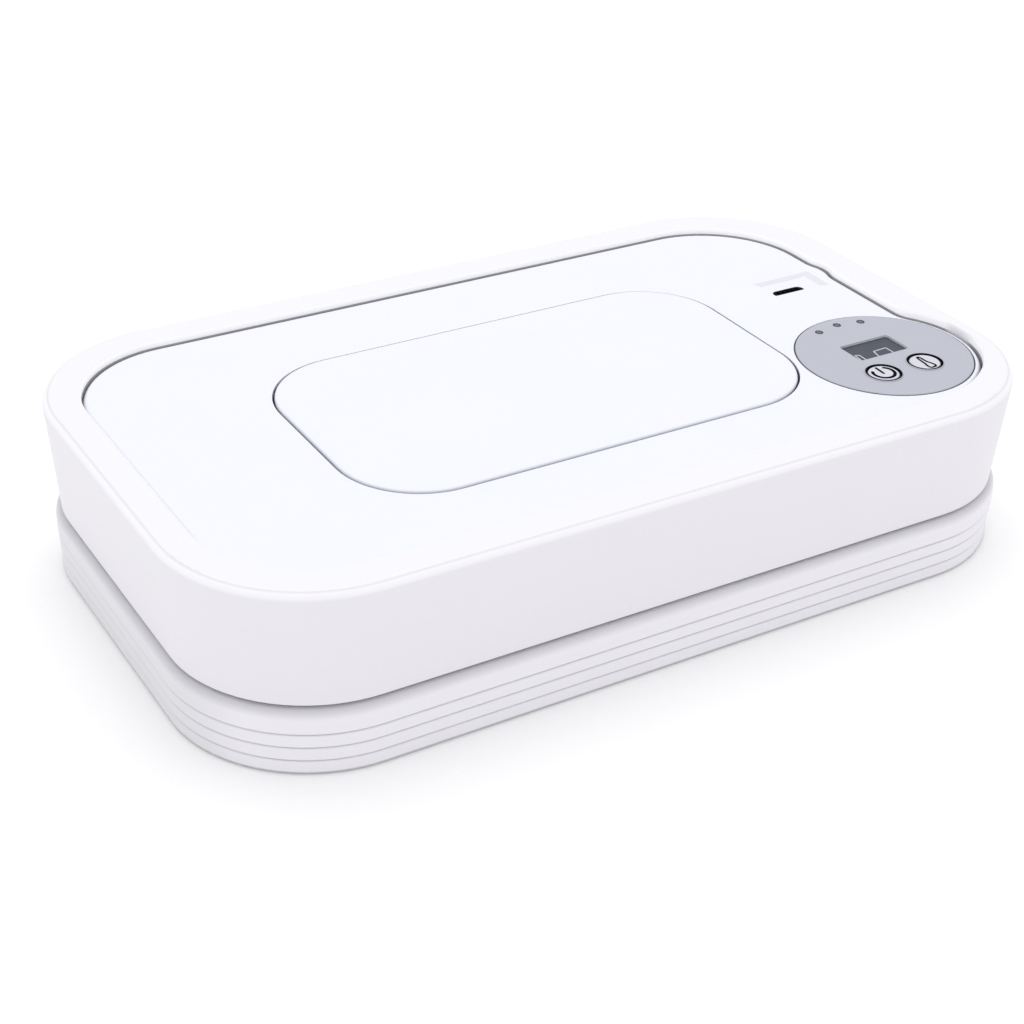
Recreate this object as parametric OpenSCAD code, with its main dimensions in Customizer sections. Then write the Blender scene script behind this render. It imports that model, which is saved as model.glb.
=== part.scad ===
// Baby wipe warmer: a low base with a tray for a stack of wipes, under a
// hinged heated cover. A flip lid in the cover opens on the slot that wipes
// are pulled through, and a round control panel sits beside it.
// The origin is on the table, under the middle of the cover. X runs along
// the length, towards the controls; -Y is the side that faces the user.

/* [Overall] */
// Length over the cover
body_l = 240; // [228:1:252]
// Width over the cover
body_w = 143.6; // [139:0.2:150]
// Height from the table to the top of the rim
total_h = 49; // [45:0.5:56]
// Plan radius of the cover's corners
corner_r = 38; // [34:0.5:40]

/* [Base] */
// Height of a rubber foot below the base
foot_h = 0.6; // [0.4:0.1:2]
// Radius of a rubber foot
foot_r = 6; // [4:0.5:8]
// Number of narrow bands under the top band
low_bands = 3; // [2:1:4]
// Height of one narrow band
band_h = 3.7; // [2.8:0.1:4]
// Height of the top band
top_band_h = 6; // [4.6:0.1:6.4]
// How far each band steps in from the one above
band_step = 0.2; // [0.1:0.1:0.6]
// How far the top band stands in from the cover's widest outline
band_inset = 0.4; // [0.2:0.1:0.6]
// Width of the groove between two bands
groove_h = 0.4; // [0.3:0.1:0.6]
// Wall of the banded shell
shell_t = 2.2; // [1.8:0.1:2.6]
// Wall of the upstand that carries the wipe tray
upstand_t = 2; // [1.6:0.1:2.4]
// Thickness of the bottom plate
bottom_t = 2; // [1.8:0.1:2.6]
// Thickness of the foam under the wipe tray
base_foam_t = 1.8; // [1:0.1:3]

/* [Wipe tray] */
// Wall of the wipe tray
tray_t = 1.4; // [1.2:0.1:2]
// Inward lean of the wipe tray's walls, top to bottom
tray_draft = 2.5; // [2:0.1:4]
// Height of the ribs on the tray's floor
rib_h = 1; // [0.6:0.1:1.6]
// Number of ribs on the tray's floor
ribs = 9; // [5:2:13]
// Width and height of the silicone seal on the tray's flange
seal = 1.1; // [0.8:0.1:1.3]

/* [Cover] */
// Gap between the base's shoulder and the cover's lower edge
lift_gap = 0.9; // [0.8:0.1:1.4]
// Inward lean of the skirt, top to bottom
taper = 2; // [1:0.1:2.2]
// Wall of the skirt and the rim
skirt_t = 2.4; // [2:0.1:2.6]
// Radius of the rounding along the rim's outer edge
edge_r = 2.3; // [2:0.1:3.4]
// Radius of the rounding along the rim's inner edge
lip_r = 0.7; // [0.4:0.1:1]
// Width of the rim on the left
rim_left = 9.4; // [8.5:0.1:12]
// Width of the rim on the right
rim_right = 11; // [10:0.1:12]
// Width of the rim at the far side
rim_far = 9.3; // [9:0.1:12]
// Width of the rim at the near side
rim_near = 10.2; // [8:0.1:11]
// Plan radius of the recess's corners
recess_r = 29.5; // [27:0.1:31]
// Depth of the top panel below the rim
panel_drop = 2; // [1.6:0.1:2.6]
// Thickness of the top panel
panel_t = 2.2; // [2:0.1:2.6]
// Radius of the rounding along the panel's edge
panel_r = 1.4; // [0.5:0.1:1.6]
// Gap between the panel and the rim
panel_gap = 0.4; // [0.3:0.05:0.6]
// Width of the ledge that carries the panel
ledge_w = 9; // [8:0.5:10]
// Thickness of the ledge
ledge_t = 2; // [1.6:0.1:2.4]
// Height of the space for the electronics, over the inner plate
bay_h = 11; // [10.8:0.1:13]

/* [Finger notch] */
// Middle of the notch, from the cover's middle line
notch_y = 20.1; // [12:0.1:22]
// Depth of the notch into the rim
notch_d = 1.2; // [0.8:0.1:1.6]
// Radius of the notch and of its run-outs
notch_r = 10; // [8:0.5:12]

/* [Vent] */
// Middle of the vent slot, from the cover's right end
vent_from_right = 27.9; // [26:0.1:30]
// Middle of the vent slot, from the cover's middle line
vent_y = 13.7; // [8:0.1:15]
// Length of the vent slot
vent_l = 10.4; // [8:0.1:11]
// Width of the vent slot
vent_w = 3.7; // [2:0.1:4]
// Length of the shallow pocket round the slot
pocket_l = 19.5; // [17:0.1:20]
// Width of the shallow pocket
pocket_w = 11.5; // [10:0.1:13]
// Width of the pocket's two sloping sides
pocket_slope = 3.4; // [2:0.1:4]
// Depth of the pocket
pocket_d = 0.7; // [0.4:0.1:1]

/* [Controls] */
// Middle of the control disc, from the cover's right end
disc_from_right = 31.1; // [30:0.1:33]
// Middle of the control disc, from the cover's near side
disc_from_near = 39.5; // [39:0.1:41]
// Radius of the control disc
disc_r = 23.9; // [23.4:0.1:24.4]
// Gap round the control disc
disc_gap = 0.3; // [0.2:0.05:0.4]
// How far the control disc stands proud of the panel
disc_proud = 0.2; // [0.1:0.1:0.4]
// Thickness of the control disc
disc_t = 1.4; // [1.2:0.1:1.8]
// Width of the strip between the disc's seat and the rim
disc_margin = 1.9; // [1.2:0.1:2.2]
// Radius that blends the disc's bay into the rim's straight side
blend_r = 8; // [5:0.5:9]
// Radius of a push button
button_r = 4.25; // [3.6:0.05:4.4]
// Travel of a push button
button_travel = 0.6; // [0.4:0.1:0.7]
// Distance between the two push buttons
button_pitch = 14.1; // [12:0.1:15]
// Middle of the push buttons, below the disc's middle
button_drop = 9; // [7.6:0.1:9.4]
// Middle of the push buttons, left of the disc's middle
button_shift = 0.6; // [0:0.1:1]
// Width of the black ring round a push button
ring_t = 0.75; // [0.6:0.05:0.9]
// Length of the display window
window_l = 16.6; // [15:0.1:18]
// Width of the display window
window_w = 9.4; // [9:0.1:11]
// Middle of the display window, above the disc's middle
window_up = 4.3; // [4:0.1:6]
// Depth of the display's face below the disc's face
display_depth = 4.3; // [4:0.1:5]
// Radius of an indicator dot
dot_r = 1.1; // [0.8:0.05:1.2]
// Distance of the indicator dots from the disc's middle
dot_ring_r = 20.2; // [19.6:0.1:20.6]
// Angle between two indicator dots
dot_angle = 21; // [14:1:26]

/* [Lid] */
// Distance of the lid's left end from the cover's left end
lid_from_left = 52.6; // [46:0.2:60]
// Distance of the lid's right end from the middle of the control disc
lid_from_disc = 24.5; // [24:0.1:28]
// Width of the flip lid
lid_w = 75.2; // [74:0.2:79]
// Plan radius of the lid's corners
lid_r = 21.8; // [19:0.1:23]
// Middle of the lid, from the cover's middle, across
lid_y = -3.1; // [-6:0.1:-2]
// Thickness of the lid
lid_t = 1.8; // [1.6:0.1:2]
// How far the lid stands proud of the panel
lid_proud = 0.5; // [0.3:0.1:0.6]
// Gap round the lid
lid_gap = 0.6; // [0.55:0.05:0.8]
// Radius of the rounding along the lid's edge
lid_edge_r = 0.9; // [0.8:0.05:1.1]
// Distance of the lid's hinge axis behind its far edge
lid_hinge_out = 6.2; // [6.1:0.1:6.5]
// Radius of the lid's hinge pins
lid_pin_r = 0.6; // [0.5:0.05:0.7]
// Distance of a lid hinge from the lid's end
lid_hinge_end = 28; // [26:0.5:34]
// Turns of a lid spring
spring_turns = 3; // [2:1:4]
// Distance of the wipe opening's ends from the lid's ends
throat_end = 11.9; // [11:0.1:18]
// Width of the opening that wipes are pulled through
throat_w = 50; // [44:0.5:51]

/* [Cover hinge] */
// Distance of the hinge axis from the cover's far side
hinge_in = 3.2; // [3:0.1:3.4]
// Height of the hinge axis above the base's shoulder
hinge_up = 3.6; // [3.5:0.1:4]
// Outer radius of the hinge knuckles
knuckle_r = 2.4; // [2.1:0.05:2.5]
// Radius of the hinge pins
pin_r = 1; // [0.8:0.05:1.2]
// Distance of a hinge from the cover's middle
hinge_x = 54; // [48:1:60]
// Width of the cover's knuckle
knuckle_w = 5.4; // [4:0.1:7]
// Width of one lug on the base
lug_w = 6; // [4:0.1:8]

/* [Power inlet] */
// Middle of the inlet, from the cover's right end
inlet_from_right = 48; // [46:1:52]

/* [Hidden] */
$fn = 96;

// Clearances shared by several pieces
running_gap = 0.06;
seat_gap = 0.03;
contact_gap = 0.05;
cut = 1;
weld = 0.5;

// Outlines, as half sizes
half_l = body_l / 2;
half_w = body_w / 2;

// Heights, from the table up
z_base = foot_h;
z_low_top = z_base + low_bands * band_h;
z_shoulder = z_low_top + top_band_h;
z_skirt = z_shoulder + lift_gap;
z_panel = total_h - panel_drop;
z_ledge = z_panel - panel_t;
z_ledge_under = z_ledge - ledge_t;
z_plate = z_ledge - bay_h;
plate_t = 2;
foam_t = 1.2;
film_t = 0.3;
heat_plate_t = 1;
z_plate_under = z_plate - plate_t;
z_film = z_plate_under - foam_t;
z_heat_top = z_film - film_t;
z_heat = z_heat_top - heat_plate_t;
flange_t = 1.2;
z_flange = z_plate_under - seal - contact_gap;
z_upstand = z_flange - flange_t;
z_bottom_top = z_base + bottom_t;
z_tray = z_bottom_top + base_foam_t;

// Offsets in from the cover's widest outline
band_out = band_inset + low_bands * band_step;
shell_in = band_out + shell_t;
groove_d = 0.9;
shoulder_t = 2;
shoulder_r = 2.6;
skirt_in = taper + skirt_t;
plate_in = skirt_in + 0.4;
upstand_in = skirt_in + 2.8;
tray_in = upstand_in + upstand_t + 0.3;

// Recess in the top of the cover, and the panel that fills it
recess_x0 = -half_l + rim_left;
recess_x1 = half_l - rim_right;
recess_y0 = -half_w + rim_near;
recess_y1 = half_w - rim_far;
rim_reach = 16;
lip_w = 2.2;
disc_x = half_l - disc_from_right;
disc_y = -half_w + disc_from_near;
seat_r = disc_r + disc_gap;
bay_r = seat_r + disc_margin;
shelf_w = 1.8;
shelf_r = disc_r - shelf_w;
z_disc = z_panel + disc_proud;
z_shelf = z_disc - disc_t;

// Control stack under the disc
well_wall = 1.2;
z_face = z_disc - display_depth;
display_h = 4.3;
z_board = z_face - display_h;
board_t = 1.6;
z_board_under = z_board - board_t;
board_r = dot_ring_r + 1.6;
ring_in_r = button_r + 0.15;
ring_out_r = ring_in_r + ring_t;
z_ring = z_shelf - 0.6;
ring_proud = 0.25;
button_proud = 0.15;
button_flange_t = 0.9;
z_button_flange = z_ring - contact_gap - button_flange_t;
switch_side = 6;
switch_h = 3.4;
plunger_h = 0.7;
z_plunger = z_board + switch_h + plunger_h;
led_h = 1;
dots = [90 - dot_angle, 90, 90 + dot_angle];
window_r = 1;
lens_drop = 0.6;
post_angles = [0, 180, 270];
post_ring = board_r - 3.4;
post_r = 2.3;
board_screw_r = 0.9;

// Vent slot and the pocket round it
vent_x = half_l - vent_from_right;
pocket_x0 = vent_x - vent_l / 2 - 1.1;
pocket_y0 = vent_y - vent_w / 2 - 0.2;
z_pocket = z_panel - pocket_d;
pocket_corner = pocket_slope + 1.5;
vent_flange = 2;
vent_flange_t = 1;

// Lid, its hinge and the throat under it
z_lid = z_panel + lid_proud;
z_lid_under = z_lid - lid_t;
lid_x0 = -half_l + lid_from_left;
lid_x1 = disc_x - lid_from_disc;
lid_l = lid_x1 - lid_x0;
lid_x = (lid_x0 + lid_x1) / 2;
lid_chamfer = 0.6;
lid_hinge_x = lid_l / 2 - lid_hinge_end;
lid_axis_y = lid_y + lid_w / 2 + lid_hinge_out;
lid_axis_z = z_ledge - 1.6;
lid_barrel_r = lid_pin_r + 0.5;
arm_w = 3.8;
arm_gap = 0.3;
arm_front = 0.8;
arm_drop = lid_hinge_out + 0.1;
arm_t = 1.7;
arm_reach = 9;
arm_riser = 2;
housing_t = 1.6;
housing_back = lid_barrel_r + 0.5;
housing_front = arm_reach + arm_riser + 3;
z_housing = z_plate + 0.7;
pin_seat = 1.3;
lid_relief = 0.4;
tub_gap = lid_gap + lid_relief;
tub_t = 1.8;
tub_floor_t = 1.2;
z_tub = z_plate + tub_floor_t;
throat_l = lid_l - 2 * throat_end;
latch_room = 7.9;
throat_y = lid_y - lid_w / 2 + latch_room + throat_w / 2;
throat_r = 14;
collar_t = 1.6;
gasket_h = 1.4;
liner_t = 1.2;
liner_rib = 1.3;
liner_over = 2.9;
z_liner = z_lid_under - liner_t;
z_rib = z_liner - liner_rib;
z_gasket = z_rib - contact_gap;
z_collar = z_gasket - gasket_h;
spring_wire_r = 0.25;
spring_r = lid_pin_r + spring_wire_r + 0.15;
spring_pitch = 0.75;
spring_l = spring_turns * spring_pitch + 2 * spring_wire_r;
spring_side = arm_w / 2 + arm_gap + spring_l + arm_gap;
latch_y = throat_y - throat_w / 2 - collar_t - liner_over / 2 - 1.3;
latch_size = [12, 4.6, 6.6];
latch_pocket = [6, 2.6, 5];
striker_size = [4.4, 1.2];
striker_foot = [12, 2.9, 1];
striker_foot_y = -2.1;
striker_in = 3.4;

// Hinge between the base and the cover
hinge_y = half_w - hinge_in;
hinge_z = z_shoulder + hinge_up;
lug_gap = 0.3;
hinge_half = knuckle_w / 2 + lug_gap + lug_w;
hinge_sides = [-hinge_x, hinge_x];
pin_bore = 20;
notch_clear = 0.7;

// Screws and their bosses
boss_r = 3.2;
screw_r = 1.25;
head_r = 2.4;
head_h = 0.9;
sink = 0.2;
boss_off = 4.6;
cover_bosses = [[recess_x0 + boss_off, 0], [recess_x1 - boss_off, 2],
    [-58, recess_y0 + boss_off], [-58, recess_y1 - boss_off],
    [44, recess_y0 + boss_off], [44, recess_y1 - boss_off]];
base_boss_r = 2.7;
base_boss_in = shell_in + 3.5;
base_bosses = [[-(half_l - base_boss_in), 0], [half_l - base_boss_in, 0],
    [-60, -(half_w - base_boss_in)], [60, -(half_w - base_boss_in)],
    [-66, half_w - base_boss_in], [66, half_w - base_boss_in]];
foot_in = [34, 24];
foot_places = [for (sx = [-1, 1], sy = [-1, 1]) [sx * (half_l - foot_in[0]), sy * (half_w - foot_in[1])]];
screw_l = 8;
base_bore_h = screw_l + 1;
rib_in = 24;

// Heated area, and what passes through the inner plate
heat_in = tray_in + tray_t + 9.7;
heat_hole_gap = 1;
heat_screw_in = 33;
heat_screw_places = [for (sx = [-1, 1], sy = [-1, 1])
    [sx * (half_l - heat_screw_in), sy * (half_w - heat_screw_in)]];
cutout_out = 13;
cutout_xy = [lid_x0 - cutout_out, -16];
cutout_r = 4;
sensor_out = 12;
sensor_xy = [lid_x1 + sensor_out, 24];
sensor_r = 2;
pass_gap = 0.6;
wire_xy = [disc_x - 8, disc_y + 12];
wire_r = 0.6;
wire_hole_r = 2.6;

// Power inlet
inlet_x = half_l - inlet_from_right;
inlet_post_h = 1.4;
inlet_board_t = 1.2;
socket_h = 3.2;
socket_w = 9;
socket_t = 0.4;
z_inlet_board = z_plate + inlet_post_h;
z_inlet = z_inlet_board + inlet_board_t + socket_h / 2;
inlet_mouth_y = half_w - skirt_t - 0.1;
inlet_board_l = 16;
inlet_board_w = 16;
inlet_board_y = inlet_mouth_y - 4 - inlet_board_w / 2;
inlet_gap = 0.6;
plug_size = [5.2, 4, 3];
lead_r = 0.65;
lead_pair = 1.5;
lead_z = z_inlet_board + inlet_board_t + plug_size[2] / 2;
lead_socket_xy = [disc_x + 3, disc_y + board_r - 5.6];
lead_bend = [disc_x + 3, inlet_board_y - 30];

white = [0.95, 0.95, 0.97];
cool_white = [0.93, 0.95, 0.99];
grey = [0.76, 0.77, 0.81];
dark = [0.08, 0.08, 0.1];
board_green = [0.12, 0.35, 0.22];

// ---- Outlines and sweeps ----

// A rectangle with round corners, by half sizes
module round_rect(hl, hw, r) {
    square([2 * hl, 2 * (hw - r)], center = true);
    square([2 * (hl - r), 2 * hw], center = true);
    for (sx = [-1, 1], sy = [-1, 1]) translate([sx * (hl - r), sy * (hw - r)]) circle(r);
}

// A flat plate with round corners between two heights
module slab(hl, hw, r, z0, z1) {
    translate([0, 0, z0]) linear_extrude(z1 - z0) round_rect(hl, hw, r);
}

// A slab whose outline lies d inside the cover's widest outline
module inset_slab(d, z0, z1) slab(half_l - d, half_w - d, corner_r - d, z0, z1);

// Carries a flat profile round a rounded rectangle. The profile's x is the
// distance outwards from the outline, and its y is the height.
module around(hl, hw, r) {
    for (mx = [0, 1], my = [0, 1]) mirror([mx, 0, 0]) mirror([0, my, 0])
        translate([hl - r, hw - r, 0]) rotate_extrude(angle = 90) translate([r, 0]) children();
    for (m = [0, 1]) mirror([m, 0, 0])
        translate([hl, hw - r, 0]) rotate([90, 0, 0]) linear_extrude(2 * (hw - r)) children();
    for (m = [0, 1]) mirror([0, m, 0])
        translate([r - hl, hw, 0]) rotate([90, 0, 90]) linear_extrude(2 * (hl - r)) children();
}

module around_cover() around(half_l, half_w, corner_r) children();

// A box section between x0..x1 and z0..z1 whose top outer corner is round
module soft_box(x0, x1, z0, z1, r) {
    translate([x0, z0]) square([x1 - x0, z1 - z0 - r]);
    translate([x0, z0]) square([x1 - x0 - r, z1 - z0]);
    translate([x1 - r, z1 - r]) circle(r);
}

// A slab whose top edge is round and whose bottom edge is cut off at a slant
module soft_slab(hl, hw, r, z0, z1, er, slant) {
    around(hl, hw, r) {
        soft_box(-5, 0, z0 + slant, z1, er);
        polygon([[-5, z0], [-slant, z0], [0, z0 + slant], [-5, z0 + slant]]);
    }
    slab(hl - 3, hw - 3, r - 3, z0, z1);
}

// Two half circles joined by straight sides
module stadium(l, w) {
    square([l - w, w], center = true);
    for (s = [-1, 1]) translate([s * (l - w) / 2, 0]) circle(w / 2);
}

// A straight of an outline holds its two ends. A bend holds its centre, its
// radius and its two angles, and is hollow where the angle falls. An outline
// runs anticlockwise.
function swing(c, r, a) = [c[0] + r * cos(a), c[1] + r * sin(a)];

// The recess's right-hand side from y0 up to y1, moved out by d, with the
// finger notch or without it
notch_t = sqrt(pow(2 * notch_r, 2) - pow(2 * notch_r - notch_d, 2));
notch_a = atan2(notch_t, 2 * notch_r - notch_d);
function plain_side(x, y0, y1) = [[[x, y0], [x, y1]]];
function notched_side(x, y0, y1, d) = [
    [[x + d, y0], [x + d, notch_y - notch_t]],
    [[x + notch_r, notch_y - notch_t], notch_r - d, 180, 180 - notch_a],
    [[x + notch_d - notch_r, notch_y], notch_r + d, -notch_a, notch_a],
    [[x + notch_r, notch_y + notch_t], notch_r - d, 180 + notch_a, 180],
    [[x + d, notch_y + notch_t], [x + d, y1]]];

// The near right corner swells round the control disc: a wide bend meets the
// disc's bay smoothly, and a hollow bend leads into the straight side.
sweep_x = recess_x1 - recess_r;
disc_up = disc_y - recess_y0;
sweep_r = (pow(disc_x - sweep_x, 2) + pow(disc_up, 2) - pow(bay_r, 2)) / (2 * (disc_up - bay_r));
sweep_c = [sweep_x, recess_y0 + sweep_r];
sweep_a = atan2(disc_y - sweep_c[1], disc_x - sweep_x);
blend_y = disc_y + sqrt(pow(bay_r + blend_r, 2) - pow(recess_x1 + blend_r - disc_x, 2));
blend_a = atan2(blend_y - disc_y, recess_x1 + blend_r - disc_x);
far_y = recess_y1 - recess_r;
left_x = recess_x0 + recess_r;
near_y = recess_y0 + recess_r;

// The recess's outline, moved out by d
function recess_outline(d, notched = true) = concat(
    [[sweep_c, sweep_r + d, -90, sweep_a],
     [[disc_x, disc_y], bay_r + d, sweep_a, blend_a],
     [[recess_x1 + blend_r, blend_y], blend_r - d, blend_a + 180, 180]],
    notched ? notched_side(recess_x1, blend_y, far_y, d) : plain_side(recess_x1 + d, blend_y, far_y),
    [[[sweep_x, far_y], recess_r + d, 0, 90],
     [[sweep_x, recess_y1 + d], [left_x, recess_y1 + d]],
     [[left_x, far_y], recess_r + d, 90, 180],
     [[recess_x0 - d, far_y], [recess_x0 - d, near_y]],
     [[left_x, near_y], recess_r + d, 180, 270],
     [[left_x, recess_y0 - d], [sweep_x, recess_y0 - d]]]);

// Points of an outline. Each piece gives all but its last point, which the
// next piece starts with.
bend_step = 4;
function piece_points(s) = len(s) == 2 ? [s[0]] : let (n = max(1, round(abs(s[3] - s[2]) / bend_step)))
    [for (i = [0 : n - 1]) swing(s[0], s[1], s[2] + (s[3] - s[2]) * i / n)];
function outline_points(outline) = [for (s = outline) each piece_points(s)];

// The recess's shape as an upright block between two heights
module recess_prism(d, z0, z1, notched = true) translate([0, 0, z0]) linear_extrude(z1 - z0)
    polygon(outline_points(recess_outline(d, notched)));

// The recess's shape as a block whose outline changes with height: each step
// holds how far the outline is moved out, and its height
module recess_loft(steps) {
    rings = [for (s = steps) [for (p = outline_points(recess_outline(s[0]))) [p[0], p[1], s[1]]]];
    n = len(rings[0]);
    last = len(rings) - 1;
    sides = [for (i = [0 : last - 1], k = [0 : n - 1]) let (m = (k + 1) % n)
        [i * n + k, (i + 1) * n + k, (i + 1) * n + m, i * n + m]];
    polyhedron([for (r = rings) each r],
        concat([[for (k = [0 : n - 1]) k], [for (k = [0 : n - 1]) last * n + n - 1 - k]], sides),
        convexity = 8);
}

// Steps of a quarter round: sign 1 flares out over the top, -1 turns in
round_steps = 4;
function round_off(d, z, r, sign) = [for (i = [0 : round_steps]) let (a = 90 * i / round_steps)
    [d + sign * r * (1 - cos(a)), z - r + r * sin(a)]];

// ---- Small shared shapes ----

// A screw whose slotted head is at the bottom and whose shank points up
module screw(p, z, r, hr, tip) {
    translate([p[0], p[1], z]) {
        difference() {
            cylinder(r = hr, h = head_h);
            for (a = [0, 90]) rotate(a) translate([-0.35, -hr * 0.6, -cut])
                cube([0.7, hr * 1.2, cut + 0.5]);
        }
        translate([0, 0, head_h]) cylinder(r = r, h = tip - head_h);
    }
}

// The hole for such a screw through a plate, sunk for its head
module screw_hole(p, z, r, hr, t) {
    translate([p[0], p[1], z - cut]) cylinder(r = hr + 0.2, h = cut + sink + head_h);
    translate([p[0], p[1], z - cut]) cylinder(r = r + 0.2, h = t + 2 * cut);
}

// A round bar along X
module bar(x0, x1, y, z, r) translate([x0, y, z]) rotate([0, 90, 0]) cylinder(r = r, h = x1 - x0);

// A level route's corners are rounded by short curves, and a tube of a few
// sides is swept along what that gives
function unit(v) = v / norm(v);
function turn(a, b, c, reach) = let (p = b + reach * unit(a - b), q = b + reach * unit(c - b))
    [for (t = [0 : 0.2 : 1]) (1 - t) * (1 - t) * p + 2 * t * (1 - t) * b + t * t * q];
function rounded(route, reach) = let (n = len(route) - 1)
    [route[0], for (i = [1 : n - 1]) each turn(route[i - 1], route[i], route[i + 1], reach), route[n]];
function ring(p, ahead, r, n) = let (side = unit(cross(ahead, [0, 0, 1])), up = cross(side, ahead))
    [for (k = [0 : n - 1]) p + r * (cos(360 * k / n) * side + sin(360 * k / n) * up)];

module tube(route, r) {
    n = 10;
    last = len(route) - 1;
    points = [for (i = [0 : last])
        each ring(route[i], unit(route[min(i + 1, last)] - route[max(i - 1, 0)]), r, n)];
    sides = [for (i = [0 : last - 1], k = [0 : n - 1]) let (m = (k + 1) % n)
        [i * n + k, (i + 1) * n + k, (i + 1) * n + m, i * n + m]];
    start = [for (k = [0 : n - 1]) k];
    end = [for (k = [0 : n - 1]) last * n + n - 1 - k];
    polyhedron(points, concat([start, end], sides), convexity = 6);
}

module at_disc(x, y) translate([disc_x + x, disc_y + y, 0]) children();

function button_x(s) = s * button_pitch / 2 - button_shift;

module button_places() for (s = [-1, 1]) at_disc(button_x(s), -button_drop) children();

module dot_places() for (a = dots) at_disc(dot_ring_r * cos(a), dot_ring_r * sin(a)) children();

module post_places() for (a = post_angles) at_disc(post_ring * cos(a), post_ring * sin(a)) children();

module at_lid() translate([lid_x, lid_y, 0]) children();

module at_throat() translate([lid_x, throat_y, 0]) children();

// Slabs that follow the lid and the throat, at a distance out from them
module lid_slab(out, z0, z1) slab(lid_l / 2 + out, lid_w / 2 + out, lid_r + out, z0, z1);
module throat_slab(out, z0, z1) slab(throat_l / 2 + out, throat_w / 2 + out, throat_r + out, z0, z1);

module at_heat_screws() for (p = heat_screw_places) translate([p[0], p[1], 0]) children();

// ---- Base ----

// Section of the banded wall: each band stands in from the one above, with a
// groove between them and a solid wall behind
module band_profile() {
    for (i = [0 : low_bands]) {
        z0 = z_low_top - i * band_h;
        z1 = i == 0 ? z_shoulder : z0 + band_h - groove_h;
        soft_box(-shell_in, -band_inset - i * band_step, z0, z1, i == 0 ? shoulder_r : 0.5);
    }
    translate([-shell_in, z_base]) square([shell_in - band_out - groove_d, z_low_top - z_base + 1]);
}

module shoulder_profile() {
    x0 = -upstand_in - upstand_t;
    translate([x0, z_shoulder - shoulder_t]) square([-shell_in + 0.5 - x0, shoulder_t]);
    translate([x0, z_shoulder - shoulder_t]) square([upstand_t, z_upstand - z_shoulder + shoulder_t]);
}

module base_lug(x) {
    bar(x - lug_w / 2, x + lug_w / 2, hinge_y, hinge_z, knuckle_r);
    translate([x - lug_w / 2, hinge_y - knuckle_r, z_shoulder - cut])
        cube([lug_w, 2 * knuckle_r, hinge_up + cut]);
}

module base_shell() color(white) difference() {
    union() {
        around_cover() band_profile();
        around_cover() shoulder_profile();
        for (b = base_bosses) translate([b[0], b[1], z_bottom_top])
            cylinder(r = base_boss_r, h = z_shoulder - z_bottom_top - 1);
        for (x = hinge_sides, s = [-1, 1]) base_lug(x + s * (hinge_half - lug_w / 2));
    }
    for (b = base_bosses) translate([b[0], b[1], z_base]) cylinder(r = screw_r + seat_gap, h = base_bore_h);
    for (x = hinge_sides) bar(x - pin_bore, x + pin_bore, hinge_y, hinge_z, pin_r + seat_gap);
}

module bottom_plate() color(white) difference() {
    inset_slab(shell_in + 0.3, z_base, z_bottom_top);
    for (b = base_bosses) screw_hole(b, z_base, screw_r, head_r, bottom_t);
    for (f = foot_places) translate([f[0], f[1], z_base - cut]) cylinder(r = foot_r, h = cut + 1);
}

module base_screws() color("silver") for (b = base_bosses)
    screw(b, z_base + sink, screw_r, head_r, screw_l);

module base_feet() color([0.35, 0.35, 0.37]) for (f = foot_places) translate([f[0], f[1], 0])
    rotate_extrude() translate([0, z_base + 1]) mirror([0, 1])
        soft_box(0, foot_r - 0.1, 0, z_base + 1, 0.4);

module base_foam() color([0.6, 0.62, 0.66]) inset_slab(tray_in + tray_draft + 0.5, z_bottom_top, z_tray);

module wipe_tray() color([0.9, 0.92, 0.94]) {
    foot = tray_in + tray_draft;
    around_cover() polygon([[-upstand_in, z_upstand], [-upstand_in, z_flange],
        [-tray_in - tray_t, z_flange], [-foot - tray_t, z_tray + tray_t + 2],
        [-foot - tray_t - 2, z_tray + tray_t], [-foot - 8, z_tray + tray_t], [-foot - 8, z_tray],
        [-foot - 2, z_tray], [-foot, z_tray + 2], [-tray_in, z_upstand]]);
    inset_slab(foot + 7, z_tray, z_tray + tray_t);
    rib_pitch = (body_l - 2 * foot - 20) / ribs;
    for (i = [0 : ribs - 1]) translate([(i - (ribs - 1) / 2) * rib_pitch - 1, rib_in - half_w,
        z_tray + tray_t - 0.5]) cube([2, body_w - 2 * rib_in, rib_h + 0.5]);
}

module tray_seal() color([0.82, 0.84, 0.86])
    around_cover() translate([-upstand_in - (upstand_t + seal) / 2, z_flange]) square([seal, seal]);

module hinge_pins() color("silver") for (x = hinge_sides)
    bar(x - hinge_half + 0.5, x + hinge_half - 0.5, hinge_y, hinge_z, pin_r);

// ---- Cover shell ----

// Skirt and rim in one section, round along the rim's outer edge
module skirt_profile() {
    polygon([[-taper, z_skirt], [0, total_h - edge_r], [-edge_r, total_h],
        [-rim_reach, total_h], [-rim_reach, total_h - skirt_t],
        [-edge_r - skirt_t, total_h - skirt_t], [-skirt_t - 0.4, total_h - skirt_t - 3],
        [-skirt_in, z_skirt]]);
    translate([-edge_r, total_h - edge_r]) intersection() {
        circle(edge_r);
        square(edge_r);
    }
}

module knuckle(x) {
    bar(x - knuckle_w / 2, x + knuckle_w / 2, hinge_y, hinge_z, knuckle_r);
    translate([x - knuckle_w / 2, half_w - skirt_in + 0.4, hinge_z])
        cube([knuckle_w, skirt_t - 0.6, knuckle_r + notch_clear + 1]);
}

// Room in the skirt for the base's lugs, either side of the knuckle
module lug_rooms(x) for (s = [-1, 1])
    translate([x + s * (hinge_half + notch_clear + knuckle_w / 2) / 2 -
        (lug_w + lug_gap + notch_clear) / 2, hinge_y - 6, z_skirt - cut])
        cube([lug_w + lug_gap + notch_clear, 12, hinge_z + knuckle_r + notch_clear - z_skirt + cut]);

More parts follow.
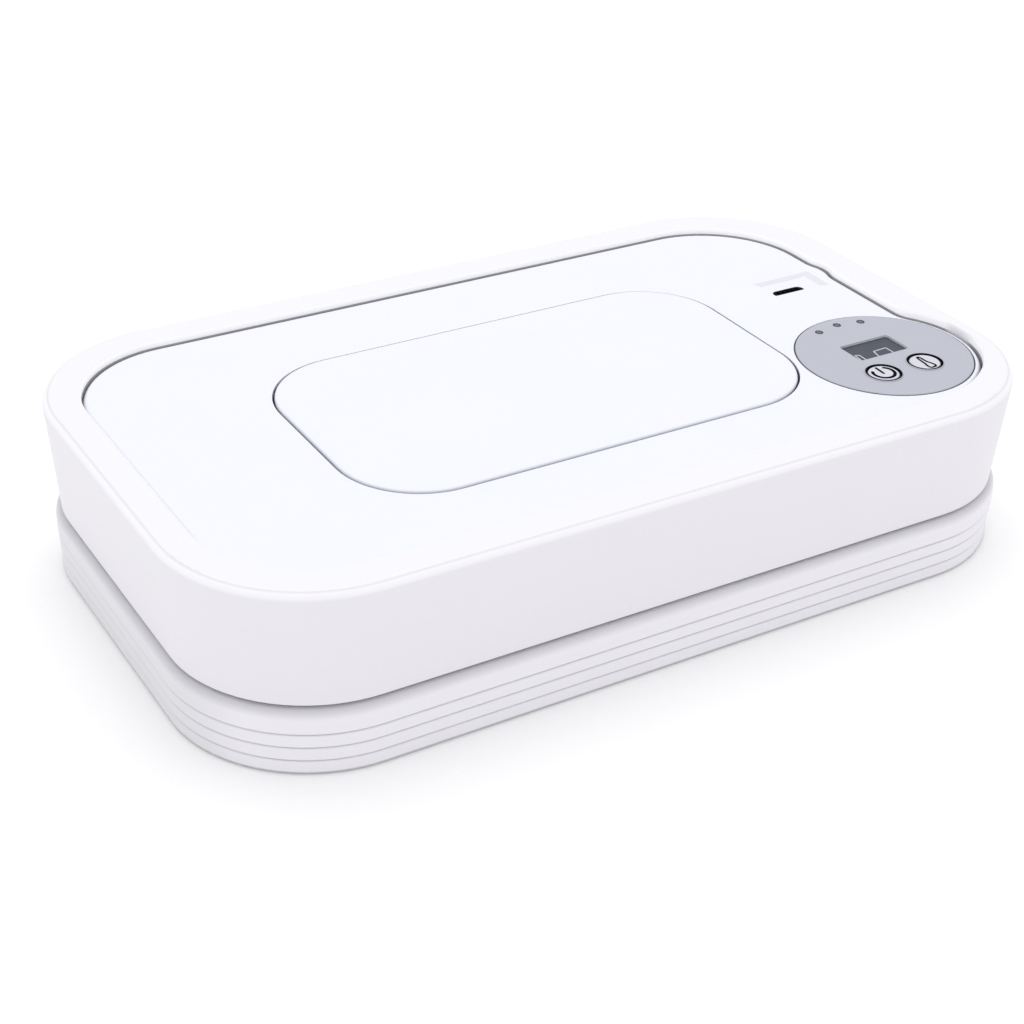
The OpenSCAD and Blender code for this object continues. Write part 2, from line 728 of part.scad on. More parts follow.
module cover_shell() color(white) difference() {
    union() {
        difference() {
            around_cover() skirt_profile();
            for (x = hinge_sides) lug_rooms(x);
        }
        recess_prism(lip_w, z_ledge_under, total_h - 1);
        for (b = cover_bosses) translate([b[0], b[1], z_plate])
            cylinder(r = boss_r, h = z_ledge - z_plate - 0.5);
        for (x = hinge_sides) knuckle(x);
    }
    recess_loft(concat([[0, z_ledge]], round_off(0, total_h, lip_r, 1), [[lip_r, total_h + cut]]));
    recess_prism(-ledge_w, z_ledge_under - cut, z_ledge + cut, false);
    at_disc(0, 0) translate([0, 0, z_ledge_under - cut]) cylinder(r = board_r + 1, h = ledge_t + 2 * cut);
    for (b = cover_bosses) translate([b[0], b[1], z_plate - cut]) cylinder(r = screw_r + seat_gap, h = 8);
    for (x = hinge_sides) bar(x - 20, x + 20, hinge_y, hinge_z, pin_r + running_gap);
    translate([inlet_x, half_w + 2, z_inlet]) rotate([90, 0, 0])
        linear_extrude(10) stadium(socket_w + 2 * inlet_gap, socket_h + 2 * inlet_gap);
}

// ---- Top panel ----

// Section of the pocket: a flat floor that slopes up at its outer end
module pocket_section(l) polygon([[0, z_panel + cut], [0, z_pocket], [l - pocket_slope, z_pocket],
    [l, z_panel], [l, z_panel + cut]]);

module pocket() translate([pocket_x0, pocket_y0, 0]) {
    translate([0, pocket_w - pocket_corner, 0]) rotate([90, 0, 0])
        linear_extrude(pocket_w - pocket_corner) pocket_section(pocket_l);
    rotate([90, 0, 90]) linear_extrude(pocket_l - pocket_corner) pocket_section(pocket_w);
    translate([pocket_l - pocket_corner, pocket_w - pocket_corner, 0])
        rotate_extrude(angle = 90) pocket_section(pocket_corner);
}

module top_panel() color(cool_white) difference() {
    recess_loft(concat([[-panel_gap, z_ledge]], round_off(-panel_gap, z_panel, panel_r, -1)));
    at_disc(0, 0) translate([0, 0, z_shelf]) cylinder(r = seat_r, h = 9);
    at_disc(0, 0) translate([0, 0, z_ledge - cut]) cylinder(r = shelf_r, h = 9);
    at_lid() lid_slab(lid_gap, z_ledge - cut, z_panel + cut);
    at_lid() lid_slab(tub_gap, z_ledge - cut, z_ledge + panel_t / 2);
    pocket();
    translate([vent_x, vent_y, z_ledge - cut]) linear_extrude(panel_t + 2) stadium(vent_l, vent_w);
}

// A dark insert under the slot, with bars across it
module vent_insert() color(dark) translate([vent_x, vent_y, 0]) difference() {
    union() {
        translate([0, 0, z_ledge - vent_flange_t]) linear_extrude(vent_flange_t)
            stadium(vent_l + 2 * vent_flange, vent_w + 2 * vent_flange);
        translate([0, 0, z_ledge - 0.5]) linear_extrude(z_pocket - z_ledge + 0.4)
            stadium(vent_l - 0.1, vent_w - 0.1);
    }
    for (i = [-2 : 2]) translate([i * vent_l / 6.5 - 0.5, -vent_w / 2 + 0.5, z_ledge - vent_flange_t - cut])
        cube([1, vent_w - 1, 5]);
}

// ---- Controls ----

module control_disc() color(grey) difference() {
    at_disc(0, 0) rotate_extrude() soft_box(0, disc_r, z_shelf, z_disc, 0.4);
    at_disc(0, window_up) translate([0, 0, z_shelf - cut]) linear_extrude(disc_t + 2 * cut)
        round_rect(window_l / 2, window_w / 2, window_r);
    button_places() translate([0, 0, z_shelf - cut]) cylinder(r = ring_out_r + seat_gap, h = 5);
    dot_places() translate([0, 0, z_shelf - cut]) cylinder(r = dot_r + seat_gap, h = 5);
}

module display_lens() color([0.36, 0.38, 0.42]) at_disc(0, window_up)
    slab(window_l / 2 - seat_gap, window_w / 2 - seat_gap, window_r - seat_gap, z_shelf,
        z_disc - lens_drop);

module button_rings() color(dark) button_places() rotate_extrude() translate([ring_in_r, 0])
    soft_box(0, ring_t, z_ring, z_disc + ring_proud, 0.25);

module push_button(s) color([0.82, 0.83, 0.87]) at_disc(button_x(s), -button_drop) {
    rotate_extrude() soft_box(0, button_r, z_button_flange, z_disc + button_proud, 0.5);
    translate([0, 0, z_button_flange]) cylinder(r = ring_out_r - 0.1, h = button_flange_t);
    z_stem = z_plunger + button_travel + contact_gap;
    translate([0, 0, z_stem]) cylinder(r = 1.5, h = z_button_flange - z_stem + weld);
}

module power_button() push_button(-1);

module heat_button() push_button(1);

module light_shield() color([0.3, 0.31, 0.35]) at_disc(0, window_up) difference() {
    slab(window_l / 2 + well_wall, window_w / 2 + well_wall, window_r + 0.6, z_face, z_shelf);
    slab(window_l / 2, window_w / 2, window_r, z_face - cut, z_shelf + cut);
}

module display_module() color([0.2, 0.21, 0.24]) at_disc(0, window_up)
    slab(window_l / 2 + well_wall, window_w / 2 + well_wall, window_r, z_board, z_face);

module light_pipes() color([0.45, 0.46, 0.5]) dot_places() translate([0, 0, z_board + led_h])
    cylinder(r = dot_r, h = z_disc - z_board - led_h);

module indicator_leds() color([0.9, 0.9, 0.8]) dot_places()
    translate([-0.8, -0.8, z_board]) cube([1.6, 1.6, led_h]);

module tact_switches() color([0.15, 0.15, 0.17]) button_places() translate([0, 0, z_board]) {
    translate([-switch_side / 2, -switch_side / 2, 0]) cube([switch_side, switch_side, switch_h]);
    cylinder(r = 1.7, h = switch_h + plunger_h);
}

module control_board() color(board_green) difference() {
    at_disc(0, 0) translate([0, 0, z_board_under]) cylinder(r = board_r, h = board_t);
    post_places() translate([0, 0, z_board_under - cut]) cylinder(r = board_screw_r + 0.2, h = 5);
}

module board_screws() color("silver") post_places() translate([0, 0, z_board + head_h])
    mirror([0, 0, 1])
        screw([0, 0], 0, board_screw_r, 1.7, head_h + board_t + z_board_under - z_plate - 0.4);

module lead_socket() color("ivory") translate([lead_socket_xy[0], lead_socket_xy[1], z_board])
    translate([-plug_size[0] / 2, -plug_size[1] / 2, 0]) cube(plug_size);

// ---- Heated plate under the cover ----

module inlet_post_places() for (sx = [-1, 1], sy = [-1, 1])
    translate([inlet_x + sx * (inlet_board_l / 2 - 2), inlet_board_y + sy * (inlet_board_w / 2 - 2), 0])
        children();

module inner_plate() color(white) difference() {
    union() {
        inset_slab(plate_in, z_plate_under, z_plate);
        post_places() translate([0, 0, z_plate - weld])
            cylinder(r = post_r, h = z_board_under - z_plate + weld);
        inlet_post_places() translate([0, 0, z_plate - weld]) cylinder(r = 1.6, h = inlet_post_h + weld);
    }
    post_places() translate([0, 0, z_plate]) cylinder(r = board_screw_r + seat_gap, h = 9);
    for (b = cover_bosses) screw_hole(b, z_plate_under, screw_r, head_r, plate_t);
    at_throat() throat_slab(heat_hole_gap, z_plate_under - cut, z_plate + cut);
    through_holes(z_plate_under - cut, z_plate + cut);
    at_heat_screws() translate([0, 0, z_plate_under - cut]) cylinder(r = 0.9 + seat_gap, h = plate_t);
}

// Holes for the cutout, the sensor and the heater's leads
module through_holes(z0, z1) {
    translate([cutout_xy[0], cutout_xy[1], z0]) cylinder(r = cutout_r + pass_gap, h = z1 - z0);
    translate([sensor_xy[0], sensor_xy[1], z0]) cylinder(r = sensor_r + pass_gap, h = z1 - z0);
    translate([wire_xy[0], wire_xy[1], z0]) cylinder(r = wire_hole_r, h = z1 - z0);
}

module plate_screws() color("silver") for (b = cover_bosses)
    screw(b, z_plate_under + sink, screw_r, head_r, screw_l);

// One layer of the heater, with the throat's opening through it
module heater_layer(extra, z0, z1) difference() {
    inset_slab(heat_in + extra, z0, z1);
    at_throat() throat_slab(heat_hole_gap + extra, z0 - cut, z1 + cut);
    at_heat_screws() translate([0, 0, z0 - cut]) cylinder(r = 1.1 + extra, h = z1 - z0 + 2 * cut);
}

module heater_foam() color([0.55, 0.56, 0.58]) difference() {
    heater_layer(0, z_film, z_plate_under);
    through_holes(z_film - cut, z_plate_under + cut);
}

module film_heater() color([0.85, 0.55, 0.2]) difference() {
    heater_layer(3, z_heat_top, z_film);
    translate([cutout_xy[0], cutout_xy[1], z_heat_top - cut]) cylinder(r = cutout_r + pass_gap, h = 3);
    translate([sensor_xy[0], sensor_xy[1], z_heat_top - cut]) cylinder(r = sensor_r + pass_gap, h = 3);
}

module heat_plate() color([0.8, 0.81, 0.82]) heater_layer(0, z_heat, z_heat_top);

module heat_plate_screws() color("silver") at_heat_screws() translate([0, 0, z_heat - head_h])
    screw([0, 0], 0, 0.9, 1.9, z_plate_under - z_heat + head_h + 0.9);

module thermal_cutout() color("silver") translate([cutout_xy[0], cutout_xy[1], z_heat_top]) {
    cylinder(r = cutout_r, h = 5);
    for (s = [-1, 1]) translate([s * 2 - 0.4, -1.2, 4.5]) cube([0.8, 2.4, 4]);
}

module temp_sensor() color("ivory") translate([sensor_xy[0], sensor_xy[1], z_heat_top]) {
    cylinder(r = sensor_r, h = 4.6);
    translate([0, 0, 4.6]) sphere(sensor_r);
}

module heater_leads() color("firebrick") for (s = [-1, 1])
    translate([wire_xy[0] + s * 1.2, wire_xy[1], z_film]) cylinder(r = wire_r, h = z_board_under - z_film);

// ---- Throat, lid hinge and latch ----

// A shallow tub under the lid: its wall meets the panel, its floor lies on the
// inner plate, and a collar round the throat carries the gasket. Behind its
// far wall two housings hold the lid's hinge pins.
module throat_frame() color(white) difference() {
    union() {
        at_lid() difference() {
            lid_slab(tub_gap + tub_t, z_plate, z_ledge);
            lid_slab(tub_gap, z_tub, z_ledge + cut);
        }
        at_throat() throat_slab(collar_t, z_tub - weld, z_collar);
        at_hinges() housing(housing_t, z_plate, z_ledge, lid_hinge_out - tub_gap - tub_t + weld);
    }
    at_throat() throat_slab(0, z_plate - cut, z_collar + cut);
    at_hinges() {
        housing(0, z_housing, z_ledge + cut, housing_front);
        bar(-spring_side - pin_seat - seat_gap, arm_w / 2 + arm_gap + pin_seat + seat_gap, 0,
            lid_axis_z, lid_pin_r + seat_gap);
    }
}

// Each lid hinge, with X pointing away from the lid's middle and Y measured
// from the hinge axis
module at_hinges() for (s = [0, 1]) translate([lid_x, lid_axis_y, 0]) mirror([s, 0, 0])
    translate([lid_hinge_x, 0, 0]) children();

// The block round an arm and its spring, out by t, reaching front towards the lid
module housing(t, z0, z1, front) translate([-spring_side - t, -front, z0])
    cube([spring_side + arm_w / 2 + arm_gap + 2 * t, front + housing_back + t, z1 - z0]);

module lid_gasket() color([0.5, 0.52, 0.55]) at_throat()
    around(throat_l / 2, throat_w / 2, throat_r) translate([0, z_collar])
        soft_box(0, collar_t, 0, gasket_h, 0.4);

module lid_pins() color("silver") at_hinges()
    bar(-spring_side - pin_seat, arm_w / 2 + arm_gap + pin_seat, 0, lid_axis_z, lid_pin_r);

// Rings of a coiled wire: its middle runs along X at the radius spring_r
spring_steps = 14;
wire_sides = 6;
function coil_point(t, q, n) = let (a = 360 * spring_turns * t / n,
    w = spring_r + spring_wire_r * cos(q))
    [(spring_l - 2 * spring_wire_r) * t / n + spring_wire_r * sin(q), w * cos(a), w * sin(a)];

module coil() {
    n = spring_steps * spring_turns;
    points = [for (t = [0 : n], k = [0 : wire_sides - 1]) coil_point(t, 360 * k / wire_sides, n)];
    sides = [for (t = [0 : n - 1], k = [0 : wire_sides - 1]) let (m = (k + 1) % wire_sides)
        [t * wire_sides + k, t * wire_sides + m, (t + 1) * wire_sides + m, (t + 1) * wire_sides + k]];
    start = [for (k = [0 : wire_sides - 1]) wire_sides - 1 - k];
    end = [for (k = [0 : wire_sides - 1]) n * wire_sides + k];
    polyhedron(points, concat([start, end], sides), convexity = 8);
}

module lid_springs() color("silver") for (s = [-1, 1]) {
    x = lid_x + s * (lid_hinge_x - spring_side + arm_gap + spring_l / 2);
    translate([x - spring_l / 2 + spring_wire_r, lid_axis_y, lid_axis_z]) coil();
}

module lid_latch() color([0.3, 0.3, 0.33]) translate([lid_x, latch_y, z_tub]) difference() {
    translate([-latch_size[0] / 2, -latch_size[1] / 2, 0]) cube(latch_size);
    translate([-latch_pocket[0] / 2, -latch_pocket[1] / 2, latch_size[2] - latch_pocket[2]])
        cube([latch_pocket[0], latch_pocket[1], latch_pocket[2] + cut]);
}

// ---- Power inlet ----

module inlet_board() color(board_green) {
    translate([inlet_x - inlet_board_l / 2, inlet_board_y - inlet_board_w / 2, z_inlet_board])
        cube([inlet_board_l, inlet_board_w, inlet_board_t]);
    translate([inlet_x + 2, inlet_board_y - inlet_board_w / 2 + 1, z_inlet_board + inlet_board_t])
        cube(plug_size);
}

module inlet_socket() color("silver") translate([inlet_x, inlet_mouth_y, z_inlet]) rotate([90, 0, 0]) {
    difference() {
        linear_extrude(7.4) stadium(socket_w, socket_h);
        translate([0, 0, -cut]) linear_extrude(6.4 + cut)
            stadium(socket_w - 2 * socket_t, socket_h - 2 * socket_t);
    }
    translate([-3.2, -0.35, 1]) cube([6.4, 0.7, 6]);
}

// Two wires, one over the other, from the inlet's board to the control board
module power_lead() color([0.2, 0.2, 0.22]) {
    x = inlet_x + 2 + plug_size[0] / 2;
    y = inlet_board_y - inlet_board_w / 2 + 1;
    route = [[x, y, lead_z], [x, lead_bend[1] + 12, lead_z], [lead_bend[0], lead_bend[1], lead_z],
        [lead_bend[0], lead_socket_xy[1] + 14, lead_z],
        [lead_socket_xy[0], lead_socket_xy[1] + plug_size[1] / 2 + 5, z_board + plug_size[2] / 2],
        [lead_socket_xy[0], lead_socket_xy[1] + plug_size[1] / 2, z_board + plug_size[2] / 2]];
    for (s = [-0.5, 0.5]) translate([0, 0, s * lead_pair]) tube(rounded(route, 2.2), lead_r);
}

// ---- Lid ----

// A hinge arm seen from its side: down from the pin, forwards under the edge of
// the panel and up to the lid, so that it clears that edge when the lid opens
module lid_arm() {
    bar(-arm_w / 2, arm_w / 2, 0, lid_axis_z, lid_barrel_r);
    foot = arm_drop + arm_t;
    corner = 0.8;
    tip = arm_reach + arm_riser;
    translate([-arm_w / 2, 0, lid_axis_z]) rotate([90, 0, 90]) linear_extrude(arm_w)
        polygon([[-arm_front, 0], [-arm_front, -arm_drop], [-arm_reach, -arm_drop],
            [-arm_reach, z_lid_under - lid_axis_z + weld], [-tip, z_lid_under - lid_axis_z + weld],
            [-tip, corner - foot], [corner - tip, -foot], [lid_barrel_r - corner, -foot],
            [lid_barrel_r, corner - foot], [lid_barrel_r, 0]]);
}

module lid_plate() color(cool_white) difference() {
    union() {
        at_lid() soft_slab(lid_l / 2, lid_w / 2, lid_r, z_lid_under, z_lid, lid_edge_r, lid_chamfer);
        at_hinges() lid_arm();
    }
    at_hinges() bar(-arm_w / 2 - cut, arm_w / 2 + cut, 0, lid_axis_z, lid_pin_r + running_gap);
}

module lid_liner() color(white) at_throat() {
    slab(throat_l / 2 + collar_t + liner_over, throat_w / 2 + collar_t + liner_over / 2,
        throat_r + collar_t + liner_over / 2, z_liner, z_lid_under);
    around(throat_l / 2, throat_w / 2, throat_r) translate([0.2, z_rib])
        square([collar_t - 0.4, liner_rib + 0.3]);
}

module lid_striker() color([0.85, 0.86, 0.88]) translate([lid_x, latch_y, 0]) {
    translate([-striker_foot[0] / 2, striker_foot_y, z_lid_under - striker_foot[2]]) cube(striker_foot);
    z0 = z_tub + latch_size[2] - striker_in;
    translate([-striker_size[0] / 2, -striker_size[1] / 2, z0])
        cube([striker_size[0], striker_size[1], z_lid_under - z0 - 0.5]);
    translate([-striker_size[0] / 2, -striker_size[1] / 2 - 0.3, z0 + 0.4])
        cube([striker_size[0], striker_size[1] + 0.6, 0.7]);
}

base_shell();
bottom_plate();
base_screws();
base_feet();
base_foam();
wipe_tray();
tray_seal();
hinge_pins();
cover_shell();
top_panel();
vent_insert();
control_disc();
display_lens();
button_rings();
power_button();
heat_button();
light_shield();
display_module();
light_pipes();
indicator_leds();
tact_switches();
control_board();
board_screws();
lead_socket();
inner_plate();
plate_screws();
heater_foam();
film_heater();
heat_plate();
heat_plate_screws();
thermal_cutout();
temp_sensor();
throat_frame();
lid_gasket();
lid_pins();
lid_springs();
lid_latch();
inlet_board();
inlet_socket();
power_lead();
heater_leads();
lid_plate();
lid_liner();
lid_striker();
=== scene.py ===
"""Finishes, printed marks, lights and camera for a baby wipe warmer.

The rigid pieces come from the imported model. This script dresses them, adds the
printed signs on the buttons, the display's digits and the rims of the dots, and
sets up a plain studio. Lengths are in millimetres unless a docstring says else.
"""

import logging
import math
from dataclasses import dataclass, field
from enum import Enum
from typing import Any, Iterable, Sequence

import bpy
import numpy as np
from mathutils import Matrix, Vector


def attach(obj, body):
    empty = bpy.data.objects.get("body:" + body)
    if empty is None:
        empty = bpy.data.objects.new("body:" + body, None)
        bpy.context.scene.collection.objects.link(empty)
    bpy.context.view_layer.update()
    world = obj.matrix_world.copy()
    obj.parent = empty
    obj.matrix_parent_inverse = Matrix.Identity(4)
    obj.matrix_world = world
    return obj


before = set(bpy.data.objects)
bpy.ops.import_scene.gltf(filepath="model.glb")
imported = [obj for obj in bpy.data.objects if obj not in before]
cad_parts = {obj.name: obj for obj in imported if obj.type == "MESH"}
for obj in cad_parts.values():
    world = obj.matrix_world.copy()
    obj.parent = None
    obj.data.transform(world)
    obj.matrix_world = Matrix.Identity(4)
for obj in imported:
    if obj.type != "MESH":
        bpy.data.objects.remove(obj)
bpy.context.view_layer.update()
MM = 0.001
log = logging.getLogger("warmer")

Array = np.ndarray
Colour = tuple[float, float, float]
Pair = tuple[float, float]

WHITE: Colour = (1.0, 1.0, 1.0)
NO_GLOW: Colour = (0.0, 0.0, 0.0)
DISC_MIDDLE: Pair = (88.9, -32.3)
POWER_MIDDLE: Pair = (81.25, -41.3)
HEAT_MIDDLE: Pair = (95.35, -41.3)


# ---- Shader maths ----


class Signal:
    """A number that varies over a surface, as one output of a shader node."""

    def __init__(self, paint: "Paint", socket: bpy.types.NodeSocket) -> None:
        """Wraps one socket.

        Args:
            paint: the material that the socket belongs to.
            socket: the output to read.
        """
        self.paint = paint
        self.socket = socket

    def _maths(self, operation: str, a: Any, b: Any = None) -> "Signal":
        """Adds a Math node.

        Args:
            operation: the node's operation.
            a: its first value.
            b: its second value, where it takes one.

        Returns:
            The node's result.
        """
        values = {i: v for i, v in enumerate((a, b)) if v is not None}
        return self.paint.node("ShaderNodeMath", {"operation": operation}, values)

    def __add__(self, other: Any) -> "Signal":
        """Sum."""
        return self._maths("ADD", self, other)

    __radd__ = __add__

    def __mul__(self, other: Any) -> "Signal":
        """Product."""
        return self._maths("MULTIPLY", self, other)

    __rmul__ = __mul__

    def __sub__(self, other: Any) -> "Signal":
        """Difference."""
        return self._maths("SUBTRACT", self, other)

    def __rsub__(self, other: Any) -> "Signal":
        """Difference from a number."""
        return self._maths("SUBTRACT", other, self)

    def __truediv__(self, other: Any) -> "Signal":
        """Quotient."""
        return self._maths("DIVIDE", self, other)

    def __pow__(self, other: Any) -> "Signal":
        """Power."""
        return self._maths("POWER", self, other)

    def absolute(self) -> "Signal":
        """Size without its sign."""
        return self._maths("ABSOLUTE", self)

    def positive(self) -> "Signal":
        """The value, or 0 where it is less."""
        return self._maths("MAXIMUM", self, 0.0)

    def wave(self) -> "Signal":
        """Sine of the value, in radians."""
        return self._maths("SINE", self)

    def within(self, middle: float, half: float, blur: float) -> "Signal":
        """1 near a middle value, falling smoothly to 0 over the blur before half away from it."""
        return 1 - (self - middle).absolute().step(half - blur, half)

    def step(self, low: float, high: float) -> "Signal":
        """A smooth step from 0 at low to 1 at high."""
        values = {0: self, 1: low, 2: high, 3: 0.0, 4: 1.0}
        return self.paint.node("ShaderNodeMapRange", {"interpolation_type": "SMOOTHSTEP"}, values)


class Paint:
    """Builds one material's node tree round a Principled shader."""

    def __init__(self, name: str) -> None:
        """Starts an empty material.

        Args:
            name: the material's name.
        """
        self.material = bpy.data.materials.new(name)
        self.material.use_nodes = True
        self.tree = self.material.node_tree
        self.shader = self.tree.nodes["Principled BSDF"]

    def node(self, kind: str, settings: dict[str, Any], values: dict[Any, Any],
             output: Any = 0) -> Signal:
        """Adds any node.

        Args:
            kind: the node's type.
            settings: its properties, set before its values.
            values: what its inputs hold, by index or name: a number, a list or a Signal.
            output: which output to return, by index or name.

        Returns:
            The chosen output.
        """
        made = self.tree.nodes.new(kind)
        for key, setting in settings.items():
            setattr(made, key, setting)
        for key, value in values.items():
            if isinstance(value, Signal):
                self.tree.links.new(value.socket, made.inputs[key])
            else:
                made.inputs[key].default_value = value
        return Signal(self, made.outputs[output])

    def place(self) -> Signal:
        """The object coordinates, in metres."""
        return self.node("ShaderNodeTexCoord", {}, {}, "Object")

    def axis(self, name: str) -> Signal:
        """One object coordinate, named X, Y or Z, in metres."""
        return self.node("ShaderNodeSeparateXYZ", {}, {0: self.place()}, name)

    def level(self, name: str) -> Signal:
        """One object coordinate, named X, Y or Z, in millimetres."""
        return self.axis(name) / MM

    def noise(self, scale: float, detail: float = 2.0, rough: float = 0.5,
              stretch: Sequence[float] = (1, 1, 1)) -> Signal:
        """Noise from 0 to 1 on the object coordinates.

        Args:
            scale: how many blobs lie along a metre.
            detail: octaves.
            rough: weight of the finer octaves.
            stretch: how the coordinates are scaled first.

        Returns:
            The noise's value.
        """
        where = self.node("ShaderNodeMapping", {}, {0: self.place(), 3: tuple(stretch)})
        values = {"Vector": where, "Scale": scale, "Detail": detail, "Roughness": rough}
        return self.node("ShaderNodeTexNoise", {}, values)

    def mix(self, factor: Signal, a: Signal | Colour, b: Signal | Colour) -> Signal:
        """A colour between two.

        Args:
            factor: 0 for the first colour, 1 for the second.
            a: the first colour.
            b: the second colour.

        Returns:
            The mixed colour.
        """
        ends = {key: end if isinstance(end, Signal) else (*end, 1) for key, end in ((6, a), (7, b))}
        return self.node("ShaderNodeMix", {"data_type": "RGBA"}, {0: factor} | ends, 2)

    def bump(self, height: Signal, distance: float) -> Signal:
        """A bumped normal.

        Args:
            height: the relief, from 0 to 1.
            distance: how deep the relief is, in metres.

        Returns:
            The normal.
        """
        values = {"Height": height, "Distance": distance, "Strength": 1.0}
        return self.node("ShaderNodeBump", {}, values)

    def set(self, **values: Any) -> None:
        """Sets the shader's inputs by name, with _ for a space.

        Args:
            values: a number, a colour or a Signal for each.
        """
        for key, value in values.items():
            socket = self.shader.inputs[key.replace("_", " ")]
            if isinstance(value, Signal):
                self.tree.links.new(value.socket, socket)
            elif isinstance(value, (tuple, list)):
                socket.default_value = (*value, 1)
            else:
                socket.default_value = value


def dim(colour: Colour, factor: float) -> Colour:
    """A colour with each channel scaled."""
    return tuple(c * factor for c in colour)


# ---- Finishes ----


@dataclass(frozen=True)
class Surface:
    """What every finish has: a colour, and a lay method that fills in the shader."""

    colour: Colour

    def make(self, name: str) -> bpy.types.Material:
        """Builds the material.

        Args:
            name: its name.

        Returns:
            The material.
        """
        paint = Paint(name)
        self.lay(paint)
        return paint.material

    def lay(self, paint: Paint) -> None:
        """Fills in the shader, in each finish's own way."""
        raise NotImplementedError


@dataclass(frozen=True)
class Moulded(Surface):
    """Injection-moulded plastic: an even colour with a faint drift and a spark-eroded grain.

    The grain's depth is in metres. Both scales count blobs along a metre.
    """

    roughness: float = 0.4
    grain: float = 0.000012
    grain_scale: float = 2600
    grain_gloss: float = 0.08
    drift: float = 0.015
    drift_scale: float = 28
    drift_gloss: float = 0.06
    gloss: float = 0.4

    def lay(self, paint: Paint) -> None:
        """Lays the drifting colour and the grain.

        Args:
            paint: the paint to add to.
        """
        cloud = paint.noise(self.drift_scale, 3)
        grain = paint.noise(self.grain_scale, 2, 0.6)
        uneven = (cloud - 0.5) * self.drift_gloss + (grain - 0.5) * self.grain_gloss
        plain = paint.mix(cloud, dim(self.colour, 1 - self.drift), self.colour)
        paint.set(Base_Color=self.tone(paint, plain), Roughness=self.roughness + uneven,
                  Normal=paint.bump(grain, self.grain), Specular_IOR_Level=self.gloss)

    def tone(self, paint: Paint, colour: Signal) -> Signal:
        """The colour that shows, which some finishes change in places."""
        return colour


@dataclass(frozen=True)
class Panel(Moulded):
    """Moulded plastic with painted shade: a grey line where its rounded edge drops into the gap
    round it.
    """

    seam_shade: Colour = (0.14, 0.145, 0.165)
    low: float = 46.5
    high: float = 46.995
    near_depth: float = 0.05
    far_depth: float = 0.65
    turn: Pair = (44.0, 60.0)
    pocket_x: Pair = (95.2, 10.4)
    pocket_y: Pair = (17.0, 6.4)
    pocket_blur: float = 0.6
    band: Pair = (103.7, 20.8)
    band_half: Pair = (1.25, 1.1)
    band_end: Pair = (1.2, 0.6)
    band_blur: float = 0.3
    slope_shade_colour: Colour = (0.73, 0.74, 0.79)

    def tone(self, paint: Paint, colour: Signal) -> Signal:
        """Paints shade where the edge drops into its gap, and a paler shade on two pocket sides.

        The painted shade grows as the height falls from high to low. Its depth goes from near to
        far as y or x goes through the turn. In the pocket round the vent, given by its middle and
        half size on each axis, the right and far slopes get painted shade instead, each in an even
        band.

        Args:
            paint: the paint to add to.
            colour: the plastic's own colour.

        Returns:
            The colour with its painted shade at the edge and in the pocket.
        """
        x, y = paint.level("X"), paint.level("Y")
        blur = self.pocket_blur
        inside = x.within(*self.pocket_x, blur) * y.within(*self.pocket_y, blur)
        # painted shade where the rounded edge drops into its gap, deeper on the far and right sides
        fall = 1 - paint.axis("Z").step(self.low * MM, self.high * MM)
        far, right = y.step(*self.turn), x.step(*self.turn)
        side = far + right * (1 - far)
        depth = self.near_depth + side * (self.far_depth - self.near_depth)
        colour = paint.mix(fall * depth * (1 - inside), colour, self.seam_shade)
        # painted shade on the pocket's right and far slopes
        (band_x, band_y), (half_x, half_y) = self.band, self.band_half
        end_x, end_y = self.band_end
        along = y.within(band_y, half_y, self.band_blur) * (1 - x.step(band_x, band_x + end_x))
        across = x.within(band_x, half_x, self.band_blur) * (1 - y.step(band_y, band_y + end_y))
        return paint.mix((along + across * (1 - along)) * inside, colour, self.slope_shade_colour)


@dataclass(frozen=True)
class Rounded(Moulded):
    """Moulded plastic with a line of painted shade on its edge, beyond a radius from its middle."""

    seam_shade: Colour = (0.2, 0.205, 0.24)
    low: float = 46.6
    high: float = 47.45
    depth: float = 0.6
    middle: Pair = (0.0, 0.0)
    beyond: float = 0.0
    lit_wall: Colour | None = None
    blur: float = 1.0

    def tone(self, paint: Paint, colour: Signal) -> Signal:
        """Blends the painted shade line in below the high mark and beyond the radius, the length of
        x and y.

        Nearer the middle the faces below high are walls of its windows, painted paler: painted
        light.

        Args:
            paint: the paint to add to.
            colour: the plastic's own colour.

        Returns:
            The colour with its edge.
        """
        x, y = (paint.axis(a) - c * MM for a, c in zip("XY", self.middle))
        reach = (x * x + y * y) ** 0.5
        out = reach.step((self.beyond - self.blur) * MM, self.beyond * MM)
        fall = 1 - paint.axis("Z").step(self.low * MM, self.high * MM)
        # painted light: the window walls are paler than the disc
        if self.lit_wall:
            colour = paint.mix(fall * (1 - out), colour, self.lit_wall)
        # painted shade: a dark line on the edge below the high mark
        return paint.mix(fall * out * self.depth, colour, self.seam_shade)


